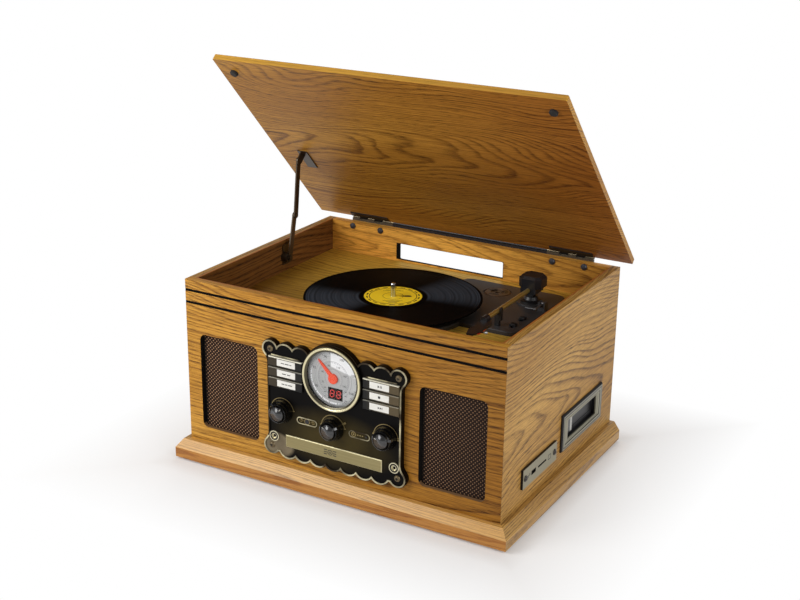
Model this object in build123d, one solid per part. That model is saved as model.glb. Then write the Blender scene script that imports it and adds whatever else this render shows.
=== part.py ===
from build123d import *
from math import acos, asin, atan2, cos, degrees, hypot, pi, radians, sin, sqrt
import os

# A table-top stereo music centre: a veneered cabinet with a record deck under a hinged lid, a cast
# fascia with gauge, keys, knobs and disc drawer, two speakers, and a cassette slot on the right side.
# Millimetres, X to the right, Y to the back, Z up, origin at the middle of the footprint on the table.

# ---------------------------------------------------------------- driving dimensions
# Cabinet
body_w = 470
body_d = 354
wall_h = 255
wall_t = 12
foot_h = 3
foot_r = 11
foot_inset = 34
board_t = 9
deck_drop = 47
edge_r = 0.8
plinth_out = 15.6
plinth_edge_h = 13.9
plinth_h = 25.7
plinth_ledge = 7.1
stripe_w = 3.4
stripe_depth = 0.8
stripe_heights = (223.9, 240.6)
stripe_stop = 3

# Rear window and connection panel
window_w = 170
window_h = 24
window_x = -21
window_up = 3
window_rebate = 8
window_rebate_lap = 5
rear_panel_w = 150
rear_panel_h = 56
rear_panel_x = 60
rear_panel_z = 62
rear_panel_t = 1.5
rear_panel_lap = 8
rca_r = 4.15
rca_l = 9
line_socket_r = 6.5
line_socket_edge = 30
line_socket_pitch = 16
inlet_w = 26
inlet_h = 18
inlet_depth = 16
inlet_edge = 34
inlet_open_w = 16.4
inlet_open_h = 8.4
inlet_pin_r = 1.2
inlet_pin_spread = 8.6

# Speakers
grille_w = 92.8
grille_h = 133.8
grille_x = 166.7
grille_z = 114.9
grille_corner_r = 8.5
grille_set_back = 6
grille_lap = 6
grille_t = 4
driver_r = 42
driver_depth = 38
magnet_r = 26
magnet_h = 12
cone_throat_r = 14

# Fascia casting
fascia_t = 7
fascia_half_w = 100
waist_r = 15
fascia_bottom = 45.4
fascia_top = 192
lobe_x = 95
bottom_lobe_x = 94.6
top_lobe_z = 188.2
top_lobe_r = 12.6
bottom_lobe_z = 53
bottom_lobe_r = 12.8
scallop_pitch = 23
scallop_r = 16
scallop_rise = 7.6
scallops_below = 7
bead_in = 0.8
bead_w = 1.8
bead_h = 1.4
ledge_w = 44
ledge_t = 1.4
ledge_up = 2.2
ledge_rise = 1.2
bay_w = 172
bay_h = 128
plaque_w = 31
plaque_h = 9.5
plaque_x = 39.3
plaque_z = 98.5
plaque_rise = 0.9
plaque_rim = 1.1

# Gauge
gauge_z = 166.6
gauge_r = 44.3
gauge_border = 1.2
dial_r = 38.2
bezel_h = 6
dial_t = 1.4
needle_len = 32
needle_t = 0.8
needle_rest_deg = 45
needle_root = 3.4
needle_point = 1.5
hub_r = 6.6
hub_h = 2.4
lens_t = 1.2
led_w = 21.6
led_h = 16
led_x = 2.5
led_z = 146
led_depth = 9

# Keys: three a side, beside the gauge
key_w = 52
key_h = 12.4
key_pitch = 14.2
key_x = 71
key_top_z = 172.5
key_rise = 3
key_travel = 1.6
key_stem = 6
key_reach = 6
label_w = 28.6
label_h = 9.6
label_x = 69.1
label_depth = 0.3

# Knobs
knob_x = 77.5
knob_z = 105
middle_knob_z = 99
knob_skirt_r = 16
knob_cap_r = 12.5
knob_h = 14
knob_skirt_h = 5
knob_gap = 0.4
knob_shaft_r = 3
control_r = 8.5
control_h = 9

# Disc drawer
drawer_w = 144.6
drawer_h = 16.8
drawer_z = 64.2
drawer_front_t = 4
drawer_rise = 1.2
tray_w = 132
tray_h = 6
tray_d = 165
disc_r = 60.5
disc_recess = 2
disc_front = 5
mech_w = 160
mech_h = 36
mech_d = 176
mech_wall = 2

# Sockets on the fascia
jack_x = 90.3
jack_z = 67
jack_ring_r = 6
jack_bore_r = 1.8
jack_bore_l = 14
jack_rise = 1.6
jack_collar_r = 7.2

# Cassette slot and data sockets on the right side
cassette_from_back = 113
cassette_y = body_d - cassette_from_back
cassette_z = 75.5
cassette_w = 134.6
cassette_h = 52.3
cassette_rise = 3.6
cassette_open_w = 96
cassette_open_h = 28
cassette_lip = 9
slot_w = 68
slot_h = 16
slot_wall = 2
slot_depth = 104
slot_gap = 2
flap_t = 1.5
flap_pin_r = 1
eject_w = 22
eject_h = 22
eject_travel = 3
eject_reach = 2
eject_depth = 7
usb_to_cassette = 136
usb_plate_y = cassette_y - usb_to_cassette
usb_plate_z = 61.6
usb_plate_w = 102
usb_plate_h = 26.7
usb_plate_t = 3.4
usb_port_y = -20
usb_port_w = 13.2
usb_port_h = 5.8
usb_depth = 16
card_slot_y = 6
card_slot_w = 25
card_slot_h = 2.6

# Lid, hinges and stay
lid_w = 503
lid_d = 373
lid_t = 8.3
lid_gap = 4.1
lid_open_deg = 45.8
bumper_r = 5.5
bumper_inset = 25.8
hinge_x = 163
hinge_w = 64
hinge_knuckles = 5
hinge_leaf_t = 1.5
hinge_out = 4
hinge_up = 4.7
knuckle_r = 2.5
hinge_pin_r = 1.25
hinge_leaf_h = 14
hinge_leaf_d = 9
bolt_spread = 48
bolt_down = 5.4
bolt_r = 1.6
guard_down = 1.6
bolt_head_r = 4.8
bolt_head_h = 3
stay_x = -211
stay_from_back = 143
stay_y = body_d - stay_from_back
stay_up = 22.4
stay_lower = 62
stay_bend_deg = 6
stay_w = 9
stay_overlap = 14
stay_t = 2
stay_hook_y = 166.6
stay_hook_down = 12.8
rivet_r = 2

# Record deck
platter_x = -9.7
platter_y = 158
platter_r = 98
platter_h = 8
platter_wall = 3
platter_top_t = 2
sub_rim_r = 60
spindle_r = 3.58
spindle_top_r = 3.4
spindle_up = 19
spindle_tip = 2
mat_t = 1
record_r = 120
record_t = 1.2
label_r = 40
plate_rise = 6
plate_wall = 2.5
plate_right = 178
plate_left = 22
plate_front = 145
plate_back = 312
plate_corner_r = 14
plate_disc_r = 108
plate_gap = 1.5
bush_r = 6
motor_r = 16
motor_h = 24
pulley_r = 5
pulley_reach = 78
pulley_angle = 200
belt_t = 0.8
belt_h = 3.4
adapter_x = 88
adapter_y = 277
adapter_r = 18.8
adapter_hole_r = 3.6
adapter_h = 3.4

# Tonearm
arm_x = 145
arm_y = 264
arm_tube_up = 26
arm_tube_r = 3.1
arm_length = 178
turret_r = 15
turret_neck_r = 8.5
turret_h = 8
turret_stem_r = 5
tongue_w = 8
tongue_d = 10
block_w = 33
block_d = 32
block_h = 16
block_chamfer = 7
block_up = 3
yoke_w = 22
yoke_d = 26
arm_pin_r = 1.5
headshell_w = 17
headshell_nose_w = 9
headshell_d = 62
headshell_ahead = 18
headshell_shift = 6
headshell_drop = 0.5
headshell_t = 2.2
collar_d = 12
finger_w = 7
cartridge_w = 12
cartridge_d = 28
cartridge_h = 4
rest_y = 160
rest_d = 5.6
rest_cheek_t = 2.4
rest_over = 5
cue_x = 171
cue_y = 243
cue_len = 24
cue_up = 9
cue_bar = 14
speed_y = 169
stop_y = 197
switch_x = 163.5

# Electrics inside the body
circuit_x = -147.5
circuit_w = 105
circuit_d = 128
circuit_back = 12
circuit_up = 8
circuit_t = 1.6
sink_w = 50
sink_h = 30
capacitor_r = 7
capacitor_h = 25
transformer_x = 170
transformer_back = 44
core_w = 54
core_d = 28
core_h = 46
winding_w = 28
winding_d = 46
winding_h = 28
strap_w = 80
strap_d = 18
strap_t = 1.5

# Fits
screw_r = 1.5
screw_depth = 6
screw_head_r = 4.4
slip = 0.05
gap = 0.3
seat = 0.3

# ---------------------------------------------------------------- places worked out from them
front_reach = fascia_t + knob_gap + knob_h
open_rad = radians(lid_open_deg)
rear_reach = hinge_out - (knuckle_r + gap) * cos(open_rad) + (lid_gap - hinge_up + lid_t) * sin(open_rad)
y_front = (front_reach - rear_reach - body_d) / 2
y_back = y_front + body_d
y_in = y_front + wall_t
y_rear_in = y_back - wall_t
x_out = body_w / 2
x_in = x_out - wall_t
z_wall = foot_h
z_rim = z_wall + wall_h
z_board = z_wall + board_t
z_deck = z_rim - deck_drop
z_plate = z_deck + plate_rise
pin_y = y_back + hinge_out
pin_z = z_rim + hinge_up
z_lid = z_rim + lid_gap
lid_rear = pin_y - knuckle_r - gap
lid_front = lid_rear - lid_d

front = Plane(origin=(0, y_front, z_wall), x_dir=(1, 0, 0), z_dir=(0, -1, 0))
right = Plane(origin=(x_out, y_front, z_wall), x_dir=(0, 1, 0), z_dir=(1, 0, 0))
rear = Plane(origin=(0, y_back, z_wall), x_dir=(-1, 0, 0), z_dir=(0, 1, 0))

pieces = {}


def block(x, y, z):
    """A box between (low, high) pairs along X, Y and Z."""
    middle = [(low + high) / 2 for low, high in (x, y, z)]
    size = [high - low for low, high in (x, y, z)]
    return Pos(*middle) * Box(*size)


def slab(plane, outline, low, high):
    """An outline drawn on a plane, made solid from low to high along the plane's normal."""
    return extrude(plane.offset(low) * outline, high - low)


def rod(start, direction, r, length):
    """A round bar from a point along a direction."""
    return extrude(Plane(origin=start, z_dir=direction) * Circle(r), length)


def tube(start, direction, r, bore, length):
    """A round bar with a bore right through it."""
    return extrude(Plane(origin=start, z_dir=direction) * (Circle(r) - Circle(bore)), length)


def turned(start, direction, profile):
    """A solid of revolution from (radius, height) points, standing on a point along a direction."""
    x_dir = (1, 0, 0) if abs(direction[0]) < 0.5 else (0, 1, 0)
    axis_plane = Plane(origin=start, x_dir=x_dir, z_dir=direction)
    side = Plane(origin=start, x_dir=x_dir, z_dir=axis_plane.y_dir * -1)
    face = make_face(side * Polyline(*profile, close=True))
    return revolve(face, Axis(start, direction), 360)


def both_sides(make):
    """The same piece on the left and on the right."""
    return Compound([make(side) for side in (-1, 1)])


# ---------------------------------------------------------------- cabinet boards
def speaker_openings(margin, low, high):
    """Rounded rectangles in front of both speakers."""
    window = RectangleRounded(grille_w + 2 * margin, grille_h + 2 * margin, grille_corner_r)
    return [slab(front, Pos(side * grille_x, grille_z) * window, low, high) for side in (-1, 1)]


def front_baffle():
    board = block((-x_out, x_out), (y_front, y_in), (z_wall, z_rim))
    board = fillet(board.edges().filter_by(Axis.Z).group_by(Axis.Y)[0], edge_r)
    for opening in speaker_openings(0, -wall_t - 1, 1):
        board -= opening
    for rebate in speaker_openings(grille_lap, -wall_t - 1, -grille_set_back):
        board -= rebate
    bay = Pos(0, (fascia_bottom + fascia_top) / 2) * RectangleRounded(bay_w, bay_h, 6)
    board -= slab(front, bay, -wall_t - 1, 1)
    board -= slab(front, Pos(0, gauge_z) * Circle(dial_r + 2), -wall_t - 1, 1)
    for side in (-1, 1):
        board -= slab(front, Pos(side * jack_x, jack_z) * Circle(jack_ring_r + 1), -wall_t - 1, 1)
    for x, z in fascia_screw_places():
        board -= slab(front, Pos(x, z) * Circle(screw_r + slip), -screw_depth - 1, 1)
    for height in stripe_heights:
        groove = (z_wall + height - stripe_w / 2, z_wall + height + stripe_w / 2)
        board -= block((-x_out - 1, x_out - stripe_stop), (y_front - 1, y_front + stripe_depth), groove)
    return board


def side_panel(side):
    x = sorted((side * x_in, side * x_out))
    panel = block(x, (y_in, y_back), (z_wall, z_rim))
    if side > 0:
        cassette = Pos(cassette_y, cassette_z) * Rectangle(cassette_open_w + 4, cassette_open_h + 4)
        data = Pos(usb_plate_y, usb_plate_z) * Rectangle(usb_plate_w - 24, usb_plate_h - 10)
        panel -= slab(right, cassette, -wall_t - 1, 1)
        panel -= slab(right, data, -wall_t - 1, 1)
        for y in usb_screw_places():
            panel -= slab(right, Pos(y, usb_plate_z) * Circle(screw_r + slip), -screw_depth - 1, 1)
    return panel


def back_panel():
    """The back board, its window rebated from outside so that only a thin lip stands round it."""
    panel = block((-x_in, x_in), (y_rear_in, y_back), (z_wall, z_rim))
    low = z_deck + window_up
    x = (window_x - window_w / 2, window_x + window_w / 2)
    window = block(x, (y_rear_in - 1, y_back + 1), (low, low + window_h))
    window = fillet(window.edges().filter_by(Axis.Y), 2)
    opening = Pos(-rear_panel_x, rear_panel_z) * Rectangle(
        rear_panel_w - 2 * rear_panel_lap, rear_panel_h - 2 * rear_panel_lap)
    lap = window_rebate_lap
    rebate = block((x[0] - lap, x[1] + lap), (y_back - window_rebate, y_back + 1),
                   (low - lap, low + window_h + lap))
    panel -= window + rebate
    panel -= slab(rear, opening, -wall_t - 1, 1)
    for bolt_x in bolt_places():
        panel -= rod((bolt_x, y_rear_in - 1, z_rim - bolt_down), (0, 1, 0), bolt_r + slip, wall_t + 2)
    return panel


def board_between_walls(low):
    return block((-x_in, x_in), (y_in, y_rear_in), (low, low + board_t))


def deck_board():
    """The compartment floor, cut away under the record deck for its motor and bearing."""
    middle = Pos(platter_x, y_front + platter_y, z_deck - board_t / 2)
    return board_between_walls(z_deck - board_t) - middle * Cylinder(plate_disc_r - 8, board_t + 2)


def plinth_mouldings():
    """One run of moulding round the front and the two sides, parted at its mitres."""
    def frame(out):
        return Pos(0, (y_back + y_front - out) / 2) * Rectangle(body_w + 2 * out, body_d + out)

    base = Plane(origin=(0, 0, z_wall))
    ring = extrude(base * frame(plinth_out), plinth_edge_h)
    top = base.offset(plinth_h) * frame(plinth_ledge)
    ring += loft([base.offset(plinth_edge_h) * frame(plinth_out), top])
    ring -= block((-x_out, x_out), (y_front, y_back + 1), (z_wall - 1, z_wall + plinth_h + 1))
    corner = 40
    outline = Polyline((x_out, y_front), (x_out + corner, y_front - corner),
                       (-x_out - corner, y_front - corner), (-x_out, y_front), close=True)
    wedge = extrude(base * make_face(outline), plinth_h)
    runs = (ring - wedge).solids() + [ring & wedge]
    return Compound([run for run in runs])


def rubber_feet():
    feet = []
    for x in (-x_in + foot_inset, x_in - foot_inset):
        for y in (y_in + foot_inset, y_rear_in - foot_inset):
            profile = [(0, 0), (foot_r - 1, 0), (foot_r, 1), (foot_r, foot_h), (0, foot_h)]
            feet.append(turned((x, y, 0), (0, 0, 1), profile))
    return Compound(feet)


# ---------------------------------------------------------------- speakers
def speaker_grilles():
    """Cloth stretched over a thin board, held in a rebate from behind."""
    cloth = RectangleRounded(grille_w + 2 * grille_lap - 2 * gap, grille_h + 2 * grille_lap - 2 * gap, 8)
    boards = []
    for side in (-1, 1):
        board = slab(front, Pos(side * grille_x, grille_z) * cloth, -grille_set_back - grille_t,
                     -grille_set_back)
        boards.append(board - slab(front, Pos(side * grille_x, grille_z) * Circle(driver_r - 6),
                                   -grille_set_back - grille_t - 1, -grille_set_back - 1))
    return Compound(boards)


def speaker_driver(side):
    """Paper cone in a pressed basket with a ring magnet, screwed behind the baffle's grille board."""
    start = (side * grille_x, y_front + grille_set_back + grille_t, z_wall + grille_z)
    flange = 3
    throat_r = cone_throat_r
    basket_depth = driver_depth - magnet_h
    profile = [(0, 12), (throat_r, 12), (driver_r - 6, 1), (driver_r - 6, 0), (driver_r + 6, 0),
               (driver_r + 6, flange), (driver_r - 2, flange), (magnet_r, basket_depth),
               (magnet_r + 4, basket_depth), (magnet_r + 4, driver_depth), (0, driver_depth)]
    return turned(start, (0, 1, 0), profile)


# ---------------------------------------------------------------- fascia
def fascia_outline(inset):
    """The scalloped outline: a waisted plate, round corner lobes, scallops and the gauge's own lobe."""
    height = fascia_top - fascia_bottom
    middle = (fascia_top + fascia_bottom) / 2
    shape = Pos(0, middle) * Rectangle(2 * (fascia_half_w - inset), height - 2 * inset)
    for side in (-1, 1):
        shape += Pos(side * lobe_x, top_lobe_z) * Circle(top_lobe_r - inset)
        shape += Pos(side * bottom_lobe_x, bottom_lobe_z) * Circle(bottom_lobe_r - inset)
    edge = fascia_half_w - inset
    waists = [corner for corner in shape.vertices() if abs(abs(corner.X) - edge) < 0.01]
    shape = fillet(waists, waist_r + inset)
    for side in (-1, 1):
        for step in (1, 2):
            x = side * (lobe_x - scallop_pitch * step)
            shape += Pos(x, fascia_top + scallop_rise - scallop_r) * Circle(scallop_r - inset)
    for step in range(scallops_below):
        x = scallop_pitch * (step - (scallops_below - 1) / 2)
        shape += Pos(x, fascia_bottom - scallop_rise + scallop_r) * Circle(scallop_r - inset)
    return shape + Pos(0, gauge_z) * Circle(gauge_r + gauge_border - inset)


def fascia_screw_places():
    """One screw in the middle of each corner lobe."""
    lobes = ((lobe_x, top_lobe_z), (bottom_lobe_x, bottom_lobe_z))
    return [(side * x, z) for side in (-1, 1) for x, z in lobes]


def key_place(side, row):
    return Pos(side * key_x, key_top_z - row * key_pitch)


def key_outline(margin):
    """A key's plain face, let out all round by a margin."""
    return Rectangle(key_w + 2 * margin, key_h + 2 * margin)


def fascia_plate():
    plate = slab(front, fascia_outline(0), 0, fascia_t)
    plate += slab(front, fascia_outline(bead_in) - fascia_outline(bead_in + bead_w), fascia_t,
                  fascia_t + bead_h)
    for side in (-1, 1):
        rim = SlotOverall(plaque_w, plaque_h)
        rim -= SlotOverall(plaque_w - 2 * plaque_rim, plaque_h - 2 * plaque_rim)
        plate += slab(front, Pos(side * plaque_x, plaque_z) * rim, fascia_t, fascia_t + plaque_rise)
        ledge = key_place(side, 0) * Pos(0, key_h / 2 + ledge_up) * Rectangle(ledge_w, ledge_t)
        plate += slab(front, ledge, fascia_t, fascia_t + ledge_rise)
    top = fascia_t + bead_h + 1
    cuts = [Pos(0, gauge_z) * Circle(dial_r + 0.6),
            Pos(0, drawer_z) * Rectangle(drawer_w + 2 * gap, drawer_h + 2 * gap)]
    for side in (-1, 1):
        cuts.append(Pos(side * jack_x, jack_z) * Circle(jack_ring_r + slip))
        cuts.append(Pos(side * knob_x, knob_z) * Circle(knob_shaft_r + 1))
        for row in range(3):
            cuts.append(key_place(side, row) * key_outline(gap))
    cuts.append(Pos(0, middle_knob_z) * Circle(knob_shaft_r + 1))
    cuts += [Pos(x, z) * Circle(screw_r + slip) for x, z in fascia_screw_places()]
    for cut in cuts:
        plate -= slab(front, cut, -1, top)
    for side in (-1, 1):
        plate -= slab(front, Pos(side * jack_x, jack_z) * Circle(jack_collar_r + slip), fascia_t, top)
    return plate - slab(front, Pos(0, gauge_z) * Circle(gauge_r + slip), fascia_t, top)


def front_point(x, z, out):
    """A point before the front face, out millimetres proud of it."""
    return (x, y_front - out, z_wall + z)


def gauge_bezel():
    """A turned ring, rounded over, that covers the dial's edge and holds the glass."""
    lip = dial_r - 1
    profile = [(dial_r + 0.6, 0), (gauge_r - 1.2, 0), (gauge_r, 1.2), (gauge_r - 0.6, bezel_h - 1.8),
               (gauge_r - 2, bezel_h - 0.4), (gauge_r - 3.4, bezel_h), (gauge_r - 4.8, bezel_h - 0.6),
               (lip, bezel_h - 2), (lip, bezel_h - 3), (dial_r + 0.6, bezel_h - 3)]
    return turned(front_point(0, gauge_z, fascia_t), (0, -1, 0), profile)


def gauge_dial():
    """A printed metal disc on a moulded cup, with a window for the display and a pivot hole."""
    cup = slab(front, Pos(0, gauge_z) * Circle(dial_r + 0.3), fascia_t - 2 - dial_t, fascia_t - 2)
    cup += slab(front, Pos(0, gauge_z) * Circle(dial_r - 8), -wall_t + 2, fascia_t - 2 - dial_t)
    cup -= slab(front, Pos(led_x, led_z) * Rectangle(led_w, led_h), -wall_t, fascia_t)
    return cup - slab(front, Pos(0, gauge_z) * Circle(1 + slip), -wall_t, fascia_t)


def gauge_needle():
    """A tapered pointer on a round hub, set at rest towards the upper left."""
    low = fascia_t - 2 + gap
    shoulder = needle_len - 2 * needle_point
    pointer = Polyline((-needle_root, 0), (needle_root, 0), (needle_point, shoulder), (0, needle_len),
                       (-needle_point, shoulder), close=True)
    turn = Pos(0, gauge_z) * Rot(0, 0, needle_rest_deg)
    needle = slab(front, turn * make_face(pointer), low, low + needle_t)
    needle += slab(front, Pos(0, gauge_z) * Circle(hub_r), low, low + hub_h)
    needle += rod(front_point(0, gauge_z, low), (0, 1, 0), 1, 6)
    return needle


def gauge_lens():
    low = fascia_t + bezel_h - 3 - lens_t
    return slab(front, Pos(0, gauge_z) * Circle(dial_r + 0.4), low, low + lens_t)


def led_display():
    face = Pos(led_x, led_z) * Rectangle(led_w - 2 * slip, led_h - 2 * slip)
    return slab(front, face, fascia_t - 2 - led_depth, fascia_t - 2)


def key(side, row):
    """A bevelled bar with a sunk label field and a stem that runs back to its switch."""
    low = fascia_t - 2.6
    high = fascia_t + key_rise
    bar = slab(front, key_place(side, row) * key_outline(0), low, high)
    face = bar.faces().sort_by(Axis.Y)[0]
    bar = chamfer(face.edges(), 0.8)
    label = Pos(side * label_x, key_top_z - row * key_pitch) * Rectangle(label_w, label_h)
    bar -= slab(front, label, high - label_depth, high + 1)
    return bar + slab(front, key_place(side, row) * Circle(key_stem / 2), -key_reach, low)


def knob(x, z, pointer):
    """A skirted knob with a domed cap, a grip ridge for pointing and its shaft."""
    start = front_point(x, z, fascia_t + knob_gap)
    profile = [(0, 0), (knob_skirt_r, 0), (knob_skirt_r, 1.2), (knob_skirt_r - 1.6, knob_skirt_h - 1),
               (knob_cap_r + 0.8, knob_skirt_h), (knob_cap_r, knob_skirt_h + 1),
               (knob_cap_r - 0.8, knob_h - 3), (knob_cap_r - 3, knob_h - 0.8), (0, knob_h)]
    body = turned(start, (0, -1, 0), profile)
    face = fascia_t + knob_gap
    ridge = Pos(x, z) * Rot(0, 0, pointer) * Pos(0, knob_cap_r / 2 + 1) * Rectangle(3, knob_cap_r + 4)
    body += slab(front, ridge, face + knob_skirt_h - 1.4, face + knob_h - 1.6)
    return body + rod(start, (0, 1, 0), knob_shaft_r, fascia_t + knob_gap + 2)


def panel_screw(start, direction, through):
    """A cross-slotted oval-head screw in a cup washer, run through a plate into the board behind it."""
    profile = [(0, 0), (screw_head_r, 0), (screw_head_r - 0.6, 1), (2.9, 1.2), (2, 2), (0, 2.2)]
    back = [-step for step in direction]
    screw = turned(start, direction, profile) + rod(start, back, screw_r, through + screw_depth)
    slots = Rectangle(3.4, 0.8) + Rectangle(0.8, 3.4)
    return screw - slab(Plane(origin=start, z_dir=direction), slots, 1.4, 3)


def fixing_screws():
    """Four screws hold the fascia and two the side plate; four bolts hold the hinges."""
    screws = [panel_screw(front_point(x, z, fascia_t), (0, -1, 0), fascia_t)
              for x, z in fascia_screw_places()]
    for y in usb_screw_places():
        start = (x_out + usb_plate_t, y_front + y, z_wall + usb_plate_z)
        screws.append(panel_screw(start, (1, 0, 0), usb_plate_t))
    return Compound(screws + [hinge_bolt(x) for x in bolt_places()])


def front_jack(side):
    """A ringed 3.5 mm socket with its contact barrel behind the fascia."""
    start = front_point(side * jack_x, jack_z, -(jack_bore_l - fascia_t))
    ring = tube(start, (0, -1, 0), jack_ring_r, jack_bore_r, jack_bore_l)
    collar = tube(front_point(side * jack_x, jack_z, fascia_t), (0, -1, 0), jack_collar_r,
                  jack_ring_r - 2.4, jack_rise)
    return ring + collar


# ---------------------------------------------------------------- disc drawer
def drawer_level():
    return z_wall + drawer_z


def cd_drawer():
    """The drawer front with its tray, the tray recessed for a 120 mm disc."""
    z = drawer_level()
    face_y = y_front - fascia_t - drawer_rise
    half = drawer_w / 2
    cover = block((-half, half), (face_y, face_y + drawer_front_t), (z - drawer_h / 2, z + drawer_h / 2))
    cover = chamfer(cover.faces().sort_by(Axis.Y)[0].edges(), 0.7)
    tray_y = face_y + drawer_front_t
    tray = block((-tray_w / 2, tray_w / 2), (tray_y, tray_y + tray_d), (z - tray_h, z))
    tray = fillet(tray.edges().filter_by(Axis.Z).group_by(Axis.Y)[-1], 5)
    middle = Pos(0, tray_y + disc_r + disc_front, z)
    tray -= middle * Cylinder(disc_r, 2 * disc_recess)
    tray -= middle * Cylinder(20, 3 * tray_h)
    return cover + tray


def cd_mechanism():
    """A folded housing on two side legs; its mouth takes the tray, its roof carries the clamp."""
    z = drawer_level()
    low = z - tray_h - seat - mech_wall - 10
    y = (y_in + 2, y_in + 2 + mech_d)
    shell = block((-mech_w / 2, mech_w / 2), y, (low, low + mech_h))
    hollow = block((-tray_w / 2 - seat, tray_w / 2 + seat), (y[0] - 1, y[1] - mech_wall),
                   (z - tray_h - seat, low + mech_h - mech_wall))
    shell -= hollow
    shell += rod((0, y_in + 2 + mech_d / 2, low + mech_h - mech_wall), (0, 0, -1), 14, 3)
    shell -= block((-40, 40), (y[0] + 20, y[1] - 10), (low - 1, z - tray_h - seat - mech_wall))
    for side in (-1, 1):
        foot = sorted((side * mech_w / 2, side * (mech_w / 2 - mech_wall)))
        shell += block(foot, (y[0] + 10, y[1] - 10), (z_board, low + 1))
        flange = sorted((side * mech_w / 2, side * (mech_w / 2 + 10)))
        shell += block(flange, (y[0] + 10, y[1] - 10), (z_board, z_board + mech_wall))
    return shell


# ---------------------------------------------------------------- right side
def cassette_bezel():
    """A stepped frame let into the side: outer rim, sloped inner frame and a tunnel mouth."""
    place = Pos(cassette_y, cassette_z)
    rim = slab(right, place * Rectangle(cassette_w, cassette_h), 0, cassette_rise)
    rim = chamfer(rim.faces().sort_by(Axis.X)[-1].edges(), 1.6)
    sunk = place * Rectangle(cassette_w - 2 * cassette_lip, cassette_h - 2 * cassette_lip + 2)
    rim -= slab(right, sunk, cassette_rise - 1.4, cassette_rise + 1)
    neck = place * Rectangle(cassette_open_w + 4 - 2 * slip, cassette_open_h + 4 - 2 * slip)
    rim += slab(right, neck, -wall_t, 0)
    mouth = place * Rectangle(cassette_open_w, cassette_open_h)
    return rim - slab(right, mouth, -wall_t - 1, cassette_rise + 1)


def slot_place():
    """The tape slot lies at the rear of the mouth, the eject key at its front."""
    return Pos(cassette_y + (cassette_open_w - slot_w) / 2 - slot_wall - 1, cassette_z)


def eject_place():
    return Pos(cassette_y - (cassette_open_w - eject_w) / 2 + slot_wall, cassette_z)


def cassette_mechanism():
    """A tunnel as wide as a cassette laid end-on, with a bulkhead that fills the rest of the mouth."""
    outer = slot_place() * Rectangle(slot_w + 2 * slot_wall, slot_h + 2 * slot_wall)
    tunnel = slab(right, outer, -slot_depth - wall_t, -4)
    face = Pos(cassette_y, cassette_z) * Rectangle(cassette_open_w - 2 * slip, cassette_open_h - 2 * slip)
    tunnel += slab(right, face, -8, -4)
    tunnel -= slab(right, slot_place() * Rectangle(slot_w, slot_h), -slot_depth - wall_t + slot_wall, 1)
    pocket = eject_place() * Rectangle(eject_w + 2 * gap, eject_h + 2 * gap)
    tunnel -= slab(right, pocket, -(eject_reach + eject_depth + eject_travel + gap), 1)
    leg_x = (x_in - 70, x_in - 68)
    z = z_wall + cassette_z
    y = y_front + cassette_y
    tunnel += block(leg_x, (y, y + 30), (z_board, z - slot_h / 2 - slot_wall + 0.5))
    return tunnel


def cassette_flap():
    """A dust flap in the tape slot, hung on a pin along its top edge."""
    height = slot_h - 2 * gap
    outline = slot_place() * Rectangle(slot_w - 2 * gap, height - flap_t)
    flap = slab(right, Pos(0, -flap_t / 2) * outline, -6, -6 + flap_t)
    y = y_front + slot_place().position.X
    z = z_wall + cassette_z + height / 2 - flap_t / 2
    half = slot_w / 2 - gap
    return flap + rod((x_out - 6 + flap_t / 2, y - half, z), (0, 1, 0), flap_t / 2 + 0.2, 2 * half)


def cassette_eject_key():
    face = eject_place() * Rectangle(eject_w, eject_h)
    cap = slab(right, face, -eject_reach - eject_depth, -eject_reach)
    return chamfer(cap.faces().sort_by(Axis.X)[-1].edges(), 0.8)


def usb_card_plate():
    place = Pos(usb_plate_y, usb_plate_z)
    plate = slab(right, place * Rectangle(usb_plate_w, usb_plate_h), 0, usb_plate_t)
    port = place * Pos(usb_port_y, 0) * Rectangle(usb_port_w + 2, usb_port_h + 2)
    shell = slab(right, port, -usb_depth, 0)
    card = place * Pos(card_slot_y, 0) * Rectangle(card_slot_w + 3, card_slot_h + 3)
    shell += slab(right, card, -usb_depth, 0)
    plate += shell
    port = place * Pos(usb_port_y, 0) * Rectangle(usb_port_w, usb_port_h)
    plate -= slab(right, port, -usb_depth + 1, usb_plate_t + 1)
    card = place * Pos(card_slot_y, 0) * Rectangle(card_slot_w, card_slot_h)
    plate -= slab(right, card, -usb_depth + 1, usb_plate_t + 1)
    for y in usb_screw_places():
        plate -= slab(right, Pos(y, usb_plate_z) * Circle(screw_r + slip), -1, usb_plate_t + 1)
    return plate


def usb_screw_places():
    return [usb_plate_y + side * (usb_plate_w / 2 - 7) for side in (-1, 1)]


# ---------------------------------------------------------------- lid, hinges and stay
def bolt_places():
    return [side * hinge_x + end * bolt_spread / 2 for side in (-1, 1) for end in (-1, 1)]


def lift(shape):
    """Turn a piece drawn with the lid shut about the hinge pins, to where the lid stands open."""
    return shape.rotate(Axis((0, pin_y, pin_z), (1, 0, 0)), -lid_open_deg)


def lid_panel():
    panel = block((-lid_w / 2, lid_w / 2), (lid_front, lid_rear), (z_lid, z_lid + lid_t))
    edges = panel.edges().filter_by(Axis.Z).group_by(Axis.Y)[0]
    panel = fillet(edges, 2)
    panel = fillet(panel.faces().sort_by(Axis.Z)[-1].edges(), edge_r)
    return lift(panel)


def lid_bumpers():
    """Two soft buttons that land on the front corners of the rim."""
    stand = lid_gap - seat
    y = lid_front + bumper_inset
    bumper_x = x_out - wall_t / 2
    dots = []
    for x in (-bumper_x, bumper_x):
        profile = [(0, 0), (bumper_r, 0), (bumper_r, stand - 1), (bumper_r - 1, stand), (0, stand)]
        dots.append(lift(turned((x, y, z_lid), (0, 0, -1), profile)))
    return Compound(dots)


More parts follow.
